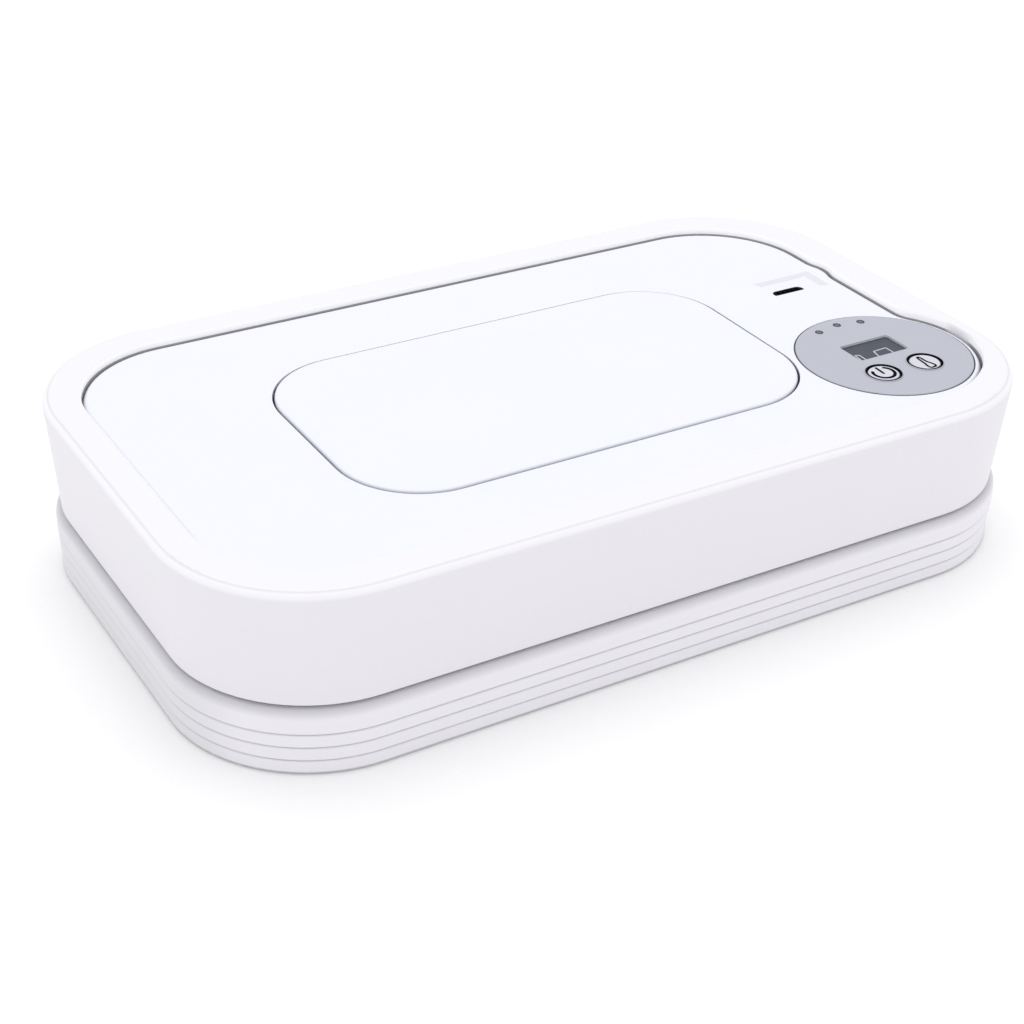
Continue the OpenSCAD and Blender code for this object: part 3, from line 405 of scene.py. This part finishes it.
@dataclass(frozen=True)
class Rim(Moulded):
    """White moulded shell with a painted highlight on its rounded edge, paler than skirt and flat
    rim.
    """

    top: Pair = (48.8, 48.9)
    lit_top_colour: Colour = (0.85, 0.84, 0.885)
    edge: Pair = (46.9, 47.9)
    edge_end: Pair = (48.55, 48.75)
    edge_highlight_colour: Colour = (0.9, 0.89, 0.925)
    recess: tuple[float, float, float] = (115.0, 66.8, 33.0)
    recess_blur: float = 0.5
    wall_lit_colour: Colour = (0.97, 0.965, 0.985)
    wall_painted_glow: float = 0.12
    wall_end: Pair = (48.4, 48.7)
    foot: Pair = (46.85, 47.13)
    foot_shade_colour: Colour = (0.1, 0.1, 0.115)
    foot_depth: float = 0.6
    line: tuple[float, float, float] = (48.86, 0.1, 0.1)
    line_colour: Colour = (0.45, 0.44, 0.48)
    line_depth: float = 0.22

    def tone(self, paint: Paint, colour: Signal) -> Signal:
        """Paints light and shade on the rounded edge, the flat rim and the recess's walls.

        The walls are the palest: painted light. They lie inside a rounded rectangle, given by its
        half length, half width and corner radius: there, how far x and y stand out past the
        corners' centres has a length under the radius. They glow a little, painted light for what
        the white recess throws back, and end in a foot of painted shade. The flat top is painted
        paler than the skirt. A thin grey line marks where the flat rim turns into the rounded edge.

        Args:
            paint: the paint to add to.
            colour: the skirt's colour.

        Returns:
            The colour of each part.
        """
        x, y, z = (paint.level(a) for a in "XYZ")
        half_x, half_y, r = self.recess
        past_x = (x.absolute() - (half_x - r)).positive()
        past_y = (y.absolute() - (half_y - r)).positive()
        past = (past_x * past_x + past_y * past_y) ** 0.5
        inner = 1 - past.step(r - self.recess_blur, r)
        # painted highlight on the rounded edge
        pale = z.step(*self.edge) * (1 - z.step(*self.edge_end))
        colour = paint.mix(pale * (1 - inner), colour, self.edge_highlight_colour)
        # painted light: the recess walls are the palest
        colour = paint.mix(inner, colour, self.wall_lit_colour)
        foot = (1 - z.step(*self.foot)) * inner
        lit = inner * (1 - foot) * (1 - z.step(*self.wall_end))
        # painted light: the recess walls glow a little
        paint.set(Emission_Color=paint.mix(lit, NO_GLOW, self.wall_lit_colour),
                  Emission_Strength=self.wall_painted_glow)
        # painted shade at the foot of the recess walls
        colour = paint.mix(foot * self.foot_depth, colour, self.foot_shade_colour)
        # painted light: the flat top is paler than the skirt
        colour = paint.mix(z.step(*self.top), colour, self.lit_top_colour)
        line = z.within(*self.line)
        return paint.mix(line * (1 - inner) * self.line_depth, colour, self.line_colour)


@dataclass(frozen=True)
class Banded(Moulded):
    """White moulded shell with painted shade in the level grooves between its bands."""

    grooves: tuple[Pair, ...] = ((0.6, 0.5), (4.15, 0.4), (7.85, 0.4), (11.55, 0.4))
    groove_shade_colour: Colour = (0.42, 0.41, 0.45)
    groove_depth: float = 0.58
    shade: Pair = (15.2, 17.7)
    shade_depth: float = 0.5
    left: Pair = (-119.5, -110.0)
    left_shade_colour: Colour = (0.74, 0.73, 0.765)

    def tone(self, paint: Paint, colour: Signal) -> Signal:
        """Paints shade on the left end, in the grooves and on the shoulder in the cover's shadow.

        A groove is strongest at its own height and fades to nothing at its half width above and
        below. The shade grows from its first height to its second.

        Args:
            paint: the paint to add to.
            colour: the plastic's own colour.

        Returns:
            The colour with its grooves.
        """
        z = paint.level("Z")
        # painted shade on the left end of the bands
        end = 1 - paint.level("X").step(*self.left)
        colour = paint.mix(end, colour, self.left_shade_colour)
        # painted shade in the grooves, then on the shoulder under the cover
        for height, half in self.grooves:
            depth = z.within(height, half, half) * self.groove_depth
            colour = paint.mix(depth, colour, self.groove_shade_colour)
        return paint.mix(z.step(*self.shade) * self.shade_depth, colour, self.groove_shade_colour)


@dataclass(frozen=True)
class Ringed(Moulded):
    """Soft black ring whose outer lip takes the colour of the disc round it."""

    middles: tuple[Pair, Pair] = (POWER_MIDDLE, HEAT_MIDDLE)
    lip: Pair = (4.9, 4.95)
    lip_colour: Colour = (0.475, 0.485, 0.555)

    def tone(self, paint: Paint, colour: Signal) -> Signal:
        """Blends in the lip's colour beyond its radius from both buttons' middles.

        Args:
            paint: the paint to add to.
            colour: the ring's own colour.

        Returns:
            The colour with its lip.
        """
        outs = []
        for middle in self.middles:
            x, y = (paint.level(a) - c for a, c in zip("XY", middle))
            outs.append(((x * x + y * y) ** 0.5).step(*self.lip))
        return paint.mix(outs[0] * outs[1], colour, self.lip_colour)


@dataclass(frozen=True)
class Soft(Surface):
    """Rubber or silicone: matt, with a fine uneven skin. Its relief is in metres."""

    roughness: float = 0.75
    relief: float = 0.00002
    gloss: float = 0.3
    skin_scale: float = 1400
    skin_gloss: float = 0.15
    paler: float = 1.18
    lift: float = 0.001

    def lay(self, paint: Paint) -> None:
        """Lays the uneven skin.

        Args:
            paint: the paint to add to.
        """
        skin = paint.noise(self.skin_scale, 4, 0.6)
        pale = tuple(min(1, c * self.paler + self.lift) for c in self.colour)
        paint.set(Base_Color=paint.mix(skin, self.colour, pale),
                  Roughness=self.roughness + (skin - 0.5) * self.skin_gloss,
                  Normal=paint.bump(skin, self.relief), Specular_IOR_Level=self.gloss)


@dataclass(frozen=True)
class Metal(Surface):
    """Metal with drawn or brushed lines along one axis. Its relief is in metres."""

    roughness: float = 0.32
    stretch: tuple[float, float, float] = (1, 40, 40)
    relief: float = 0.000004
    line_scale: float = 60
    line_gloss: float = 0.2
    darker: float = 0.82

    def lay(self, paint: Paint) -> None:
        """Lays the brushed lines.

        Args:
            paint: the paint to add to.
        """
        lines = paint.noise(self.line_scale, 5, 0.7, self.stretch)
        paint.set(Base_Color=paint.mix(lines, dim(self.colour, self.darker), self.colour),
                  Roughness=self.roughness + (lines - 0.5) * self.line_gloss, Metallic=1.0,
                  Normal=paint.bump(lines, self.relief))


@dataclass(frozen=True)
class Foam(Surface):
    """Closed-cell foam: pale cells in a darker skin. Its relief is in metres."""

    cell_scale: float = 1100.0
    cell: Pair = (0.1, 0.6)
    darker: float = 0.6
    relief: float = 0.0001
    roughness: float = 0.9
    gloss: float = 0.2

    def lay(self, paint: Paint) -> None:
        """Lays the cells.

        Args:
            paint: the paint to add to.
        """
        values = {"Vector": paint.place(), "Scale": self.cell_scale}
        cells = paint.node("ShaderNodeTexVoronoi", {}, values, "Distance")
        colour = paint.mix(cells.step(*self.cell), dim(self.colour, self.darker), self.colour)
        paint.set(Base_Color=colour, Roughness=self.roughness,
                  Normal=paint.bump(cells, self.relief), Specular_IOR_Level=self.gloss)


@dataclass(frozen=True)
class Circuit(Surface):
    """A circuit board: green solder mask over fine tracks. Its pitch and relief are in metres."""

    colour: Colour = (0.012, 0.09, 0.035)
    track: Colour = (0.03, 0.2, 0.07)
    pitch: float = 0.0016
    bend_scale: float = 90
    bend: float = 9
    crest: Pair = (0.55, 0.75)
    relief: float = 0.00002
    roughness: float = 0.32
    track_gloss: float = 0.1

    def lay(self, paint: Paint) -> None:
        """Lays the tracks: crests of a sine wave along X, bent by noise.

        Args:
            paint: the paint to add to.
        """
        turn = 2 * math.pi / self.pitch
        bend = paint.noise(self.bend_scale, 1) * self.bend
        lines = (paint.axis("X") * turn + bend).wave().step(*self.crest)
        paint.set(Base_Color=paint.mix(lines, self.colour, self.track),
                  Roughness=self.roughness + lines * self.track_gloss,
                  Normal=paint.bump(lines, self.relief))


class Finish(Enum):
    """Every finish on the warmer."""

    SHELL = Moulded((0.85, 0.84, 0.885), 0.42, 0.000010)
    # The cover's colour is its skirt's, darker than its top as painted shade.
    COVER = Rim((0.815, 0.8, 0.842), 0.42, 0.000010)
    BANDS = Banded((0.845, 0.83, 0.875), 0.42, 0.000010)
    PANEL = Panel((0.83, 0.845, 0.93), 0.38, 0.000006)
    LID = Rounded((0.83, 0.845, 0.93), 0.38, 0.000006, depth=0.4)
    TRAY = Moulded((0.72, 0.75, 0.79), 0.45, 0.000015)
    # The disc has painted shade on its edge and painted light on its window walls.
    DISC = Rounded((0.465, 0.475, 0.548), 0.42, 0.000005, seam_shade=(0.1, 0.1, 0.12), low=46.95,
                   high=47.17, depth=0.9, middle=DISC_MIDDLE, beyond=23.0, lit_wall=(0.68, 0.69, 0.74))
    BUTTON = Moulded((0.64, 0.645, 0.71), 0.4, 0.000004)
    BLACK = Moulded((0.003, 0.003, 0.004), 0.8, 0.00001, gloss=0.05)
    SHIELD = Moulded((0.085, 0.09, 0.115), 0.6, 0.00001)
    SCREEN = Moulded((0.062, 0.07, 0.095), 0.3, 0.000002, gloss=0.15)
    SEGMENT = Moulded((0.62, 0.64, 0.7), 0.35, 0.000002)
    LENS = Moulded((0.125, 0.132, 0.165), 0.3, 0.000003, gloss=0.2)
    LED = Moulded((0.8, 0.78, 0.6), 0.25, 0.000002)
    IVORY = Moulded((0.75, 0.72, 0.6), 0.45, 0.000008)
    INK = Moulded((0.002, 0.002, 0.005), 0.8, 0.000002, gloss=0.05)
    DOT_RIM = Moulded((0.03, 0.032, 0.045), 0.6, 0.000002, gloss=0.1)
    HEATER = Moulded((0.5, 0.2, 0.04), 0.3, 0.000006)
    SILICONE = Soft((0.6, 0.63, 0.68), 0.6)
    RING = Ringed((0.002, 0.002, 0.005), 0.9, 0.000015, 1400, gloss=0.05)
    FOOT = Soft((0.045, 0.045, 0.05), 0.8)
    WIRE_BLACK = Soft((0.01, 0.01, 0.012), 0.45)
    WIRE_RED = Soft((0.35, 0.015, 0.01), 0.45)
    STEEL = Metal((0.62, 0.63, 0.65))
    ALUMINIUM = Metal((0.78, 0.79, 0.8), 0.38, (1, 30, 1))
    FOAM = Foam((0.42, 0.44, 0.48))
    BOARD = Circuit()


@dataclass
class Wardrobe:
    """Holds each finish's material once it is made."""

    made: dict[Finish, bpy.types.Material] = field(default_factory=dict)

    def material(self, finish: Finish) -> bpy.types.Material:
        """The material of a finish, made when first asked for."""
        if finish not in self.made:
            self.made[finish] = finish.value.make(finish.name.lower())
        return self.made[finish]

    def dress(self, obj: bpy.types.Object, finish: Finish) -> None:
        """Gives an object one finish."""
        obj.data.materials.clear()
        obj.data.materials.append(self.material(finish))

    def dress_nodes(self, finishes: dict[str, Finish]) -> None:
        """Gives CAD nodes their finishes, by node name."""
        for name, finish in finishes.items():
            self.dress(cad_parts[name], finish)
            log.info("node %s: %s", name, finish.name)


WARDROBE = Wardrobe()


# ---- Meshes ----


def grid_faces(rows: int, columns: int, wrap_rows: bool, wrap_columns: bool) -> Array:
    """Quads of a grid of points: each joins a point, the next along, and the two below.

    Args:
        rows: points down the grid.
        columns: points along it.
        wrap_rows: whether the last row joins the first.
        wrap_columns: whether the last column joins the first.

    Returns:
        One row of four point numbers for each quad.
    """
    i = np.arange(rows if wrap_rows else rows - 1)[:, None]
    j = np.arange(columns if wrap_columns else columns - 1)[None, :]
    i2, j2 = (i + 1) % rows, (j + 1) % columns
    corners = (i * columns + j, i * columns + j2, i2 * columns + j2, i2 * columns + j)
    return np.stack(np.broadcast_arrays(*corners), -1).reshape(-1, 4)


def rounded(points: Sequence[Sequence[float]], rounds: int = 3) -> Array:
    """Rounds a loop's corners: each round swaps every corner for points a quarter along each side.

    Args:
        points: the loop's corners.
        rounds: how often the corners are cut.

    Returns:
        The rounded loop.
    """
    loop = np.asarray(points, float)
    for _ in range(rounds):
        ahead = np.roll(loop, -1, 0)
        cuts = [0.75 * loop + 0.25 * ahead, 0.25 * loop + 0.75 * ahead]
        loop = np.stack(cuts, 1).reshape(-1, 2)
    return loop


def arc(radius: float, start: float, end: float, count: int = 48) -> Array:
    """Points on a circle round the origin, at even angles from the start to the end.

    Args:
        radius: the circle's radius.
        start: first angle, in degrees.
        end: last angle, in degrees.
        count: how many points.

    Returns:
        The points.
    """
    turn = np.radians(np.linspace(start, end, count))
    return radius * np.stack([np.cos(turn), np.sin(turn)], 1)


@dataclass(frozen=True)
class Stroke:
    """A printed line: a thin flat section carried along a path, with round ends if it is open."""

    path: Array
    width: float
    floor: float
    height: float = 0.03
    closed: bool = False
    end_steps: int = 6
    stations: int = 64

    def section(self) -> tuple[Array, Array]:
        """Points along the path and the half width at each.

        An open line narrows at both ends as a circle does: at r(1 - cos a) from the end its half
        width is r sin a, for a from a small angle to a right angle. In between it is even.

        Returns:
            The points and the half widths.
        """
        path = np.asarray(self.path, float)
        r = self.width / 2
        if self.closed:
            return path, np.full(len(path), r)
        steps = np.linalg.norm(np.diff(path, axis=0), axis=1)
        along = np.concatenate([[0.0], np.cumsum(steps)])
        turn = np.linspace(math.pi / 2 / self.end_steps, math.pi / 2, self.end_steps)
        ends = r * (1 - np.cos(turn))
        middle = np.linspace(r, along[-1] - r, self.stations)[1:-1]
        at = np.concatenate([ends, middle, along[-1] - ends[::-1]])
        half = np.concatenate([r * np.sin(turn), np.full(len(middle), r), r * np.sin(turn)[::-1]])
        return np.stack([np.interp(at, along, path[:, i]) for i in (0, 1)], 1), half

    def mesh(self, centre: Sequence[float]) -> tuple[Array, Array]:
        """The line's closed surface.

        At each point the section's corners stand half a width to the left and right of the path,
        at the floor and at the floor plus the height.

        Args:
            centre: what the path's points are measured from.

        Returns:
            Points and faces.
        """
        spine, half = self.section()
        if self.closed:
            ahead = np.roll(spine, -1, 0) - np.roll(spine, 1, 0)
        else:
            ahead = np.gradient(spine, axis=0)
        ahead /= np.linalg.norm(ahead, axis=1)[:, None]
        left = np.stack([-ahead[:, 1], ahead[:, 0]], 1) * half[:, None]
        corners = [spine + left, spine - left, spine - left, spine + left]
        sides = np.stack(corners, 1) + np.asarray(centre)
        heights = self.floor + self.height * np.array([1.0, 1.0, 0.0, 0.0])
        z = np.broadcast_to(heights, sides.shape[:2])
        points = np.concatenate([sides, z[..., None]], 2).reshape(-1, 3)
        faces = grid_faces(len(spine), 4, self.closed, True)
        if not self.closed:
            last = 4 * (len(spine) - 1)
            caps = [[3, 2, 1, 0], [last, last + 1, last + 2, last + 3]]
            faces = np.concatenate([faces, caps])
        return points, faces


def join(parts: Sequence[tuple[Array, Array]]) -> tuple[Array, Array]:
    """Puts several surfaces into one, each with its own points.

    Args:
        parts: points and faces of each.

    Returns:
        All the points and all the faces.
    """
    starts = np.cumsum([0] + [len(points) for points, _ in parts[:-1]])
    return (np.concatenate([points for points, _ in parts]),
            np.concatenate([faces + start for (_, faces), start in zip(parts, starts)]))


def make_piece(name: str, points: Array, faces: Iterable[Sequence[int]], finish: Finish, body: str,
               slot: str) -> None:
    """Makes a mesh object at the origin and hangs it on a body.

    Args:
        name: the piece's name.
        points: its points.
        faces: point numbers of each face.
        finish: its finish.
        body: the body that it rides on.
        slot: the record's material slot that it belongs to. It is not used.
    """
    mesh = bpy.data.meshes.new(name)
    mesh.from_pydata((points * MM).tolist(), [], [list(map(int, f)) for f in faces])
    mesh.validate()
    piece = bpy.data.objects.new(name, mesh)
    bpy.context.scene.collection.objects.link(piece)
    WARDROBE.dress(piece, finish)
    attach(piece, body)
    log.info("piece %s: %d faces", name, len(mesh.polygons))


# ---- Studio ----


@dataclass(frozen=True)
class Lamp:
    """A square soft box that faces the object, in metres and watts."""

    name: str
    spot: tuple[float, float, float]
    size: float
    power: float

    def hang(self) -> None:
        """Hangs the lamp, turned towards the origin."""
        data = bpy.data.lights.new(self.name, "AREA")
        data.shape, data.size, data.energy = "SQUARE", self.size, self.power
        lamp = bpy.data.objects.new(self.name, data)
        lamp.location = self.spot
        lamp.rotation_mode = "QUATERNION"
        lamp.rotation_quaternion = (-Vector(self.spot)).to_track_quat("-Z", "Y")
        bpy.context.scene.collection.objects.link(lamp)


@dataclass
class Studio:
    """Camera, floor and lights.

    Its angles are in degrees. The floor's size and the camera's clip range are in metres.
    """

    focal_px: float = 1946.79
    frame_px: float = 1024
    azimuth: float = -31.31
    elevation: float = 30.82
    roll: float = 1.53
    distance: float = 490.86
    target: tuple[float, float, float] = (-22.05, -24.46, 25.0)
    sensor: float = 36.0
    clip: Pair = (0.01, 20.0)
    surround: float = 0.9
    floor_half: float = 6.0
    floor_dark: Colour = (0.93, 0.93, 0.94)
    floor_pale: Colour = (0.95, 0.95, 0.96)
    floor_glow: float = 0.06
    floor_roughness: float = 0.9
    floor_gloss: float = 0.1
    floor_scale: float = 3
    lamps: tuple[Lamp, ...] = (
        Lamp("overhead", (0.1, 0.35, 1.5), 1.6, 7.3),
        Lamp("left_side", (-1.3, -0.4, 0.6), 1.0, 0.3),
        Lamp("front", (0.2, -1.4, 0.5), 1.0, 0.2))

    def camera(self) -> None:
        """Stands the camera on a sphere round its target.

        Back is the unit vector from the target to the camera. Right and up are the level and the
        upright vector across it, turned by the roll.
        """
        a, e, r = map(math.radians, (self.azimuth, self.elevation, self.roll))
        back = np.array([math.sin(a) * math.cos(e), -math.cos(a) * math.cos(e), math.sin(e)])
        level = np.array([math.cos(a), math.sin(a), 0.0])
        upright = np.cross(back, level)
        right = math.cos(r) * level + math.sin(r) * upright
        up = -math.sin(r) * level + math.cos(r) * upright
        spot = np.array(self.target) + back * self.distance
        data = bpy.data.cameras.new("camera")
        data.sensor_width = self.sensor
        data.lens = self.focal_px / self.frame_px * self.sensor
        data.clip_start, data.clip_end = self.clip
        camera = bpy.data.objects.new("camera", data)
        turn = np.eye(4)
        turn[:3, :3] = np.stack([right, up, back], 1)
        turn[:3, 3] = spot * MM
        camera.matrix_world = Matrix(turn.tolist())
        bpy.context.scene.collection.objects.link(camera)
        bpy.context.scene.camera = camera

    def floor(self) -> None:
        """Lays a wide pale floor under the feet."""
        mesh = bpy.data.meshes.new("floor")
        corners = [(x * self.floor_half, y * self.floor_half, 0)
                   for x, y in ((-1, -1), (1, -1), (1, 1), (-1, 1))]
        mesh.from_pydata(corners, [], [(0, 1, 2, 3)])
        floor = bpy.data.objects.new("floor", mesh)
        bpy.context.scene.collection.objects.link(floor)
        paint = Paint("floor")
        cloud = paint.noise(self.floor_scale)
        paint.set(Base_Color=paint.mix(cloud, self.floor_dark, self.floor_pale),
                  Roughness=self.floor_roughness, Specular_IOR_Level=self.floor_gloss,
                  Emission_Color=WHITE, Emission_Strength=self.floor_glow)
        mesh.materials.append(paint.material)

    def lights(self) -> None:
        """Lights the scene softly from above, with a bright even surround."""
        world = bpy.data.worlds.new("surround")
        world.use_nodes = True
        sky = world.node_tree.nodes["Background"].inputs
        sky["Color"].default_value = (*WHITE, 1)
        sky["Strength"].default_value = self.surround
        bpy.context.scene.world = world
        for lamp in self.lamps:
            lamp.hang()
        bpy.context.scene.view_settings.view_transform = "Standard"

    def build(self) -> None:
        """Sets up everything that isn't part of the object."""
        self.camera()
        self.floor()
        self.lights()


# ---- The warmer ----


@dataclass
class Assembly:
    """A sub-assembly: some CAD nodes, and the finish of each."""

    finishes: dict[str, Finish] = field(default_factory=dict)

    def build(self) -> None:
        """Dresses the nodes."""
        WARDROBE.dress_nodes(self.finishes)


@dataclass
class Base(Assembly):
    """Banded shell, its underside and the wipe tray."""

    finishes: dict[str, Finish] = field(default_factory=lambda: {
        "base_shell": Finish.BANDS, "bottom_plate": Finish.SHELL, "base_screws": Finish.STEEL,
        "base_feet": Finish.FOOT, "base_foam": Finish.FOAM, "wipe_tray": Finish.TRAY,
        "tray_seal": Finish.SILICONE, "hinge_pins": Finish.STEEL})


@dataclass
class Cover(Assembly):
    """Cover shell, top panel and everything that hangs under them."""

    finishes: dict[str, Finish] = field(default_factory=lambda: {
        "cover_shell": Finish.COVER, "top_panel": Finish.PANEL, "vent_insert": Finish.BLACK,
        "inner_plate": Finish.SHELL, "plate_screws": Finish.STEEL, "heater_foam": Finish.FOAM,
        "film_heater": Finish.HEATER, "heat_plate": Finish.ALUMINIUM,
        "heat_plate_screws": Finish.STEEL, "thermal_cutout": Finish.STEEL,
        "temp_sensor": Finish.IVORY, "throat_frame": Finish.SHELL,
        "lid_gasket": Finish.SILICONE, "lid_pins": Finish.STEEL, "lid_springs": Finish.STEEL,
        "lid_latch": Finish.SHIELD, "inlet_board": Finish.BOARD, "inlet_socket": Finish.STEEL,
        "power_lead": Finish.WIRE_BLACK, "heater_leads": Finish.WIRE_RED})


@dataclass
class Controls(Assembly):
    """Control disc, its push buttons with their printed signs, display and dots."""

    finishes: dict[str, Finish] = field(default_factory=lambda: {
        "control_disc": Finish.DISC, "button_rings": Finish.RING, "power_button": Finish.BUTTON,
        "heat_button": Finish.BUTTON, "display_lens": Finish.SCREEN, "light_shield": Finish.SHIELD,
        "display_module": Finish.SCREEN, "light_pipes": Finish.LENS, "indicator_leds": Finish.LED,
        "tact_switches": Finish.BLACK, "control_board": Finish.BOARD, "board_screws": Finish.STEEL,
        "lead_socket": Finish.IVORY})
    disc_top: float = 47.2
    cap_top: float = 47.35
    lens_top: float = 46.6
    power_radius: float = 2.95
    power_gap: Pair = (60.0, 137.0)
    power_bar: tuple[Pair, ...] = ((-0.1, 3.5), (-0.27, -0.6))
    sign_width: float = 0.92
    bar_width: float = 0.72
    bulb: tuple[Pair, ...] = (
        (-0.5, 2.95), (-0.74, -0.9), (-0.97, -1.72), (-1.1, -3.15), (-0.66, -3.58), (0.7, -3.5),
        (1.18, -3.12), (1.2, -2.2), (0.77, -1.05), (0.4, -0.2), (0.42, 2.98))
    bulb_width: float = 0.62
    digits: tuple[tuple[Pair, ...], ...] = (
        ((-1.5, -0.6), (-1.23, 1.2), (-0.8, 3.38), (3.6, 3.65), (3.7, 0.65), (3.75, -0.6)),
        ((-7.4, -0.3), (-7.26, 0.98), (-7.09, 2.24), (-6.87, 3.77), (-5.71, 3.4), (-5.8, 0.88),
         (-5.82, -0.4)))
    digit_width: float = 0.34
    dot_ring: float = 20.2
    dot_angles: tuple[float, ...] = (69.0, 90.0, 111.0)
    dot_radius: float = 0.98
    dot_rim: float = 0.32
    dot_end: float = 352.5

    def build(self) -> None:
        """Dresses the controls and adds what is printed or shown on them."""
        super().build()
        self.signs()
        self.display()
        self.dot_rims()

    def signs(self) -> None:
        """Prints the power sign and the thermometer on their buttons, which they ride on."""
        after, before = self.power_gap
        ring = Stroke(arc(self.power_radius, before, 360 + after), self.sign_width, self.cap_top)
        bar = Stroke(np.array(self.power_bar), self.bar_width, self.cap_top)
        lines = [ring.mesh(POWER_MIDDLE), bar.mesh(POWER_MIDDLE)]
        make_piece("power_sign", *join(lines), Finish.INK, "power_key", "black_ring")
        outline = Stroke(rounded(self.bulb), self.bulb_width, self.cap_top, closed=True)
        make_piece("heat_sign", *outline.mesh(HEAT_MIDDLE), Finish.INK, "heat_key", "black_ring")

    def display(self) -> None:
        """Draws the pale outlines of the digits on the display's window."""
        lines = [Stroke(np.array(digit), self.digit_width, self.lens_top).mesh(DISC_MIDDLE)
                 for digit in self.digits]
        make_piece("display_digits", *join(lines), Finish.SEGMENT, "cover", "display_face")

    def dot_rims(self) -> None:
        """Rings each indicator dot with a darker line."""
        loop = arc(self.dot_radius, 0, self.dot_end)
        rim = Stroke(loop, self.dot_rim, self.disc_top, closed=True)
        turn = np.radians(self.dot_angles)
        spots = np.array(DISC_MIDDLE) + self.dot_ring * np.stack([np.cos(turn), np.sin(turn)], 1)
        rims = [rim.mesh(spot) for spot in spots]
        make_piece("dot_rims", *join(rims), Finish.DOT_RIM, "cover", "dark_shield")


@dataclass
class Lid(Assembly):
    """Flip lid over the slot that wipes are pulled through."""

    finishes: dict[str, Finish] = field(default_factory=lambda: {
        "lid_plate": Finish.LID, "lid_liner": Finish.SHELL, "lid_striker": Finish.IVORY})


def main() -> None:
    """Builds the studio and then each sub-assembly in order."""
    logging.basicConfig(level=logging.INFO, format="%(message)s")
    for part in (Studio(), Base(), Cover(), Controls(), Lid()):
        log.info("building %s", type(part).__name__)
        part.build()


if __name__ == "__main__":
    main()
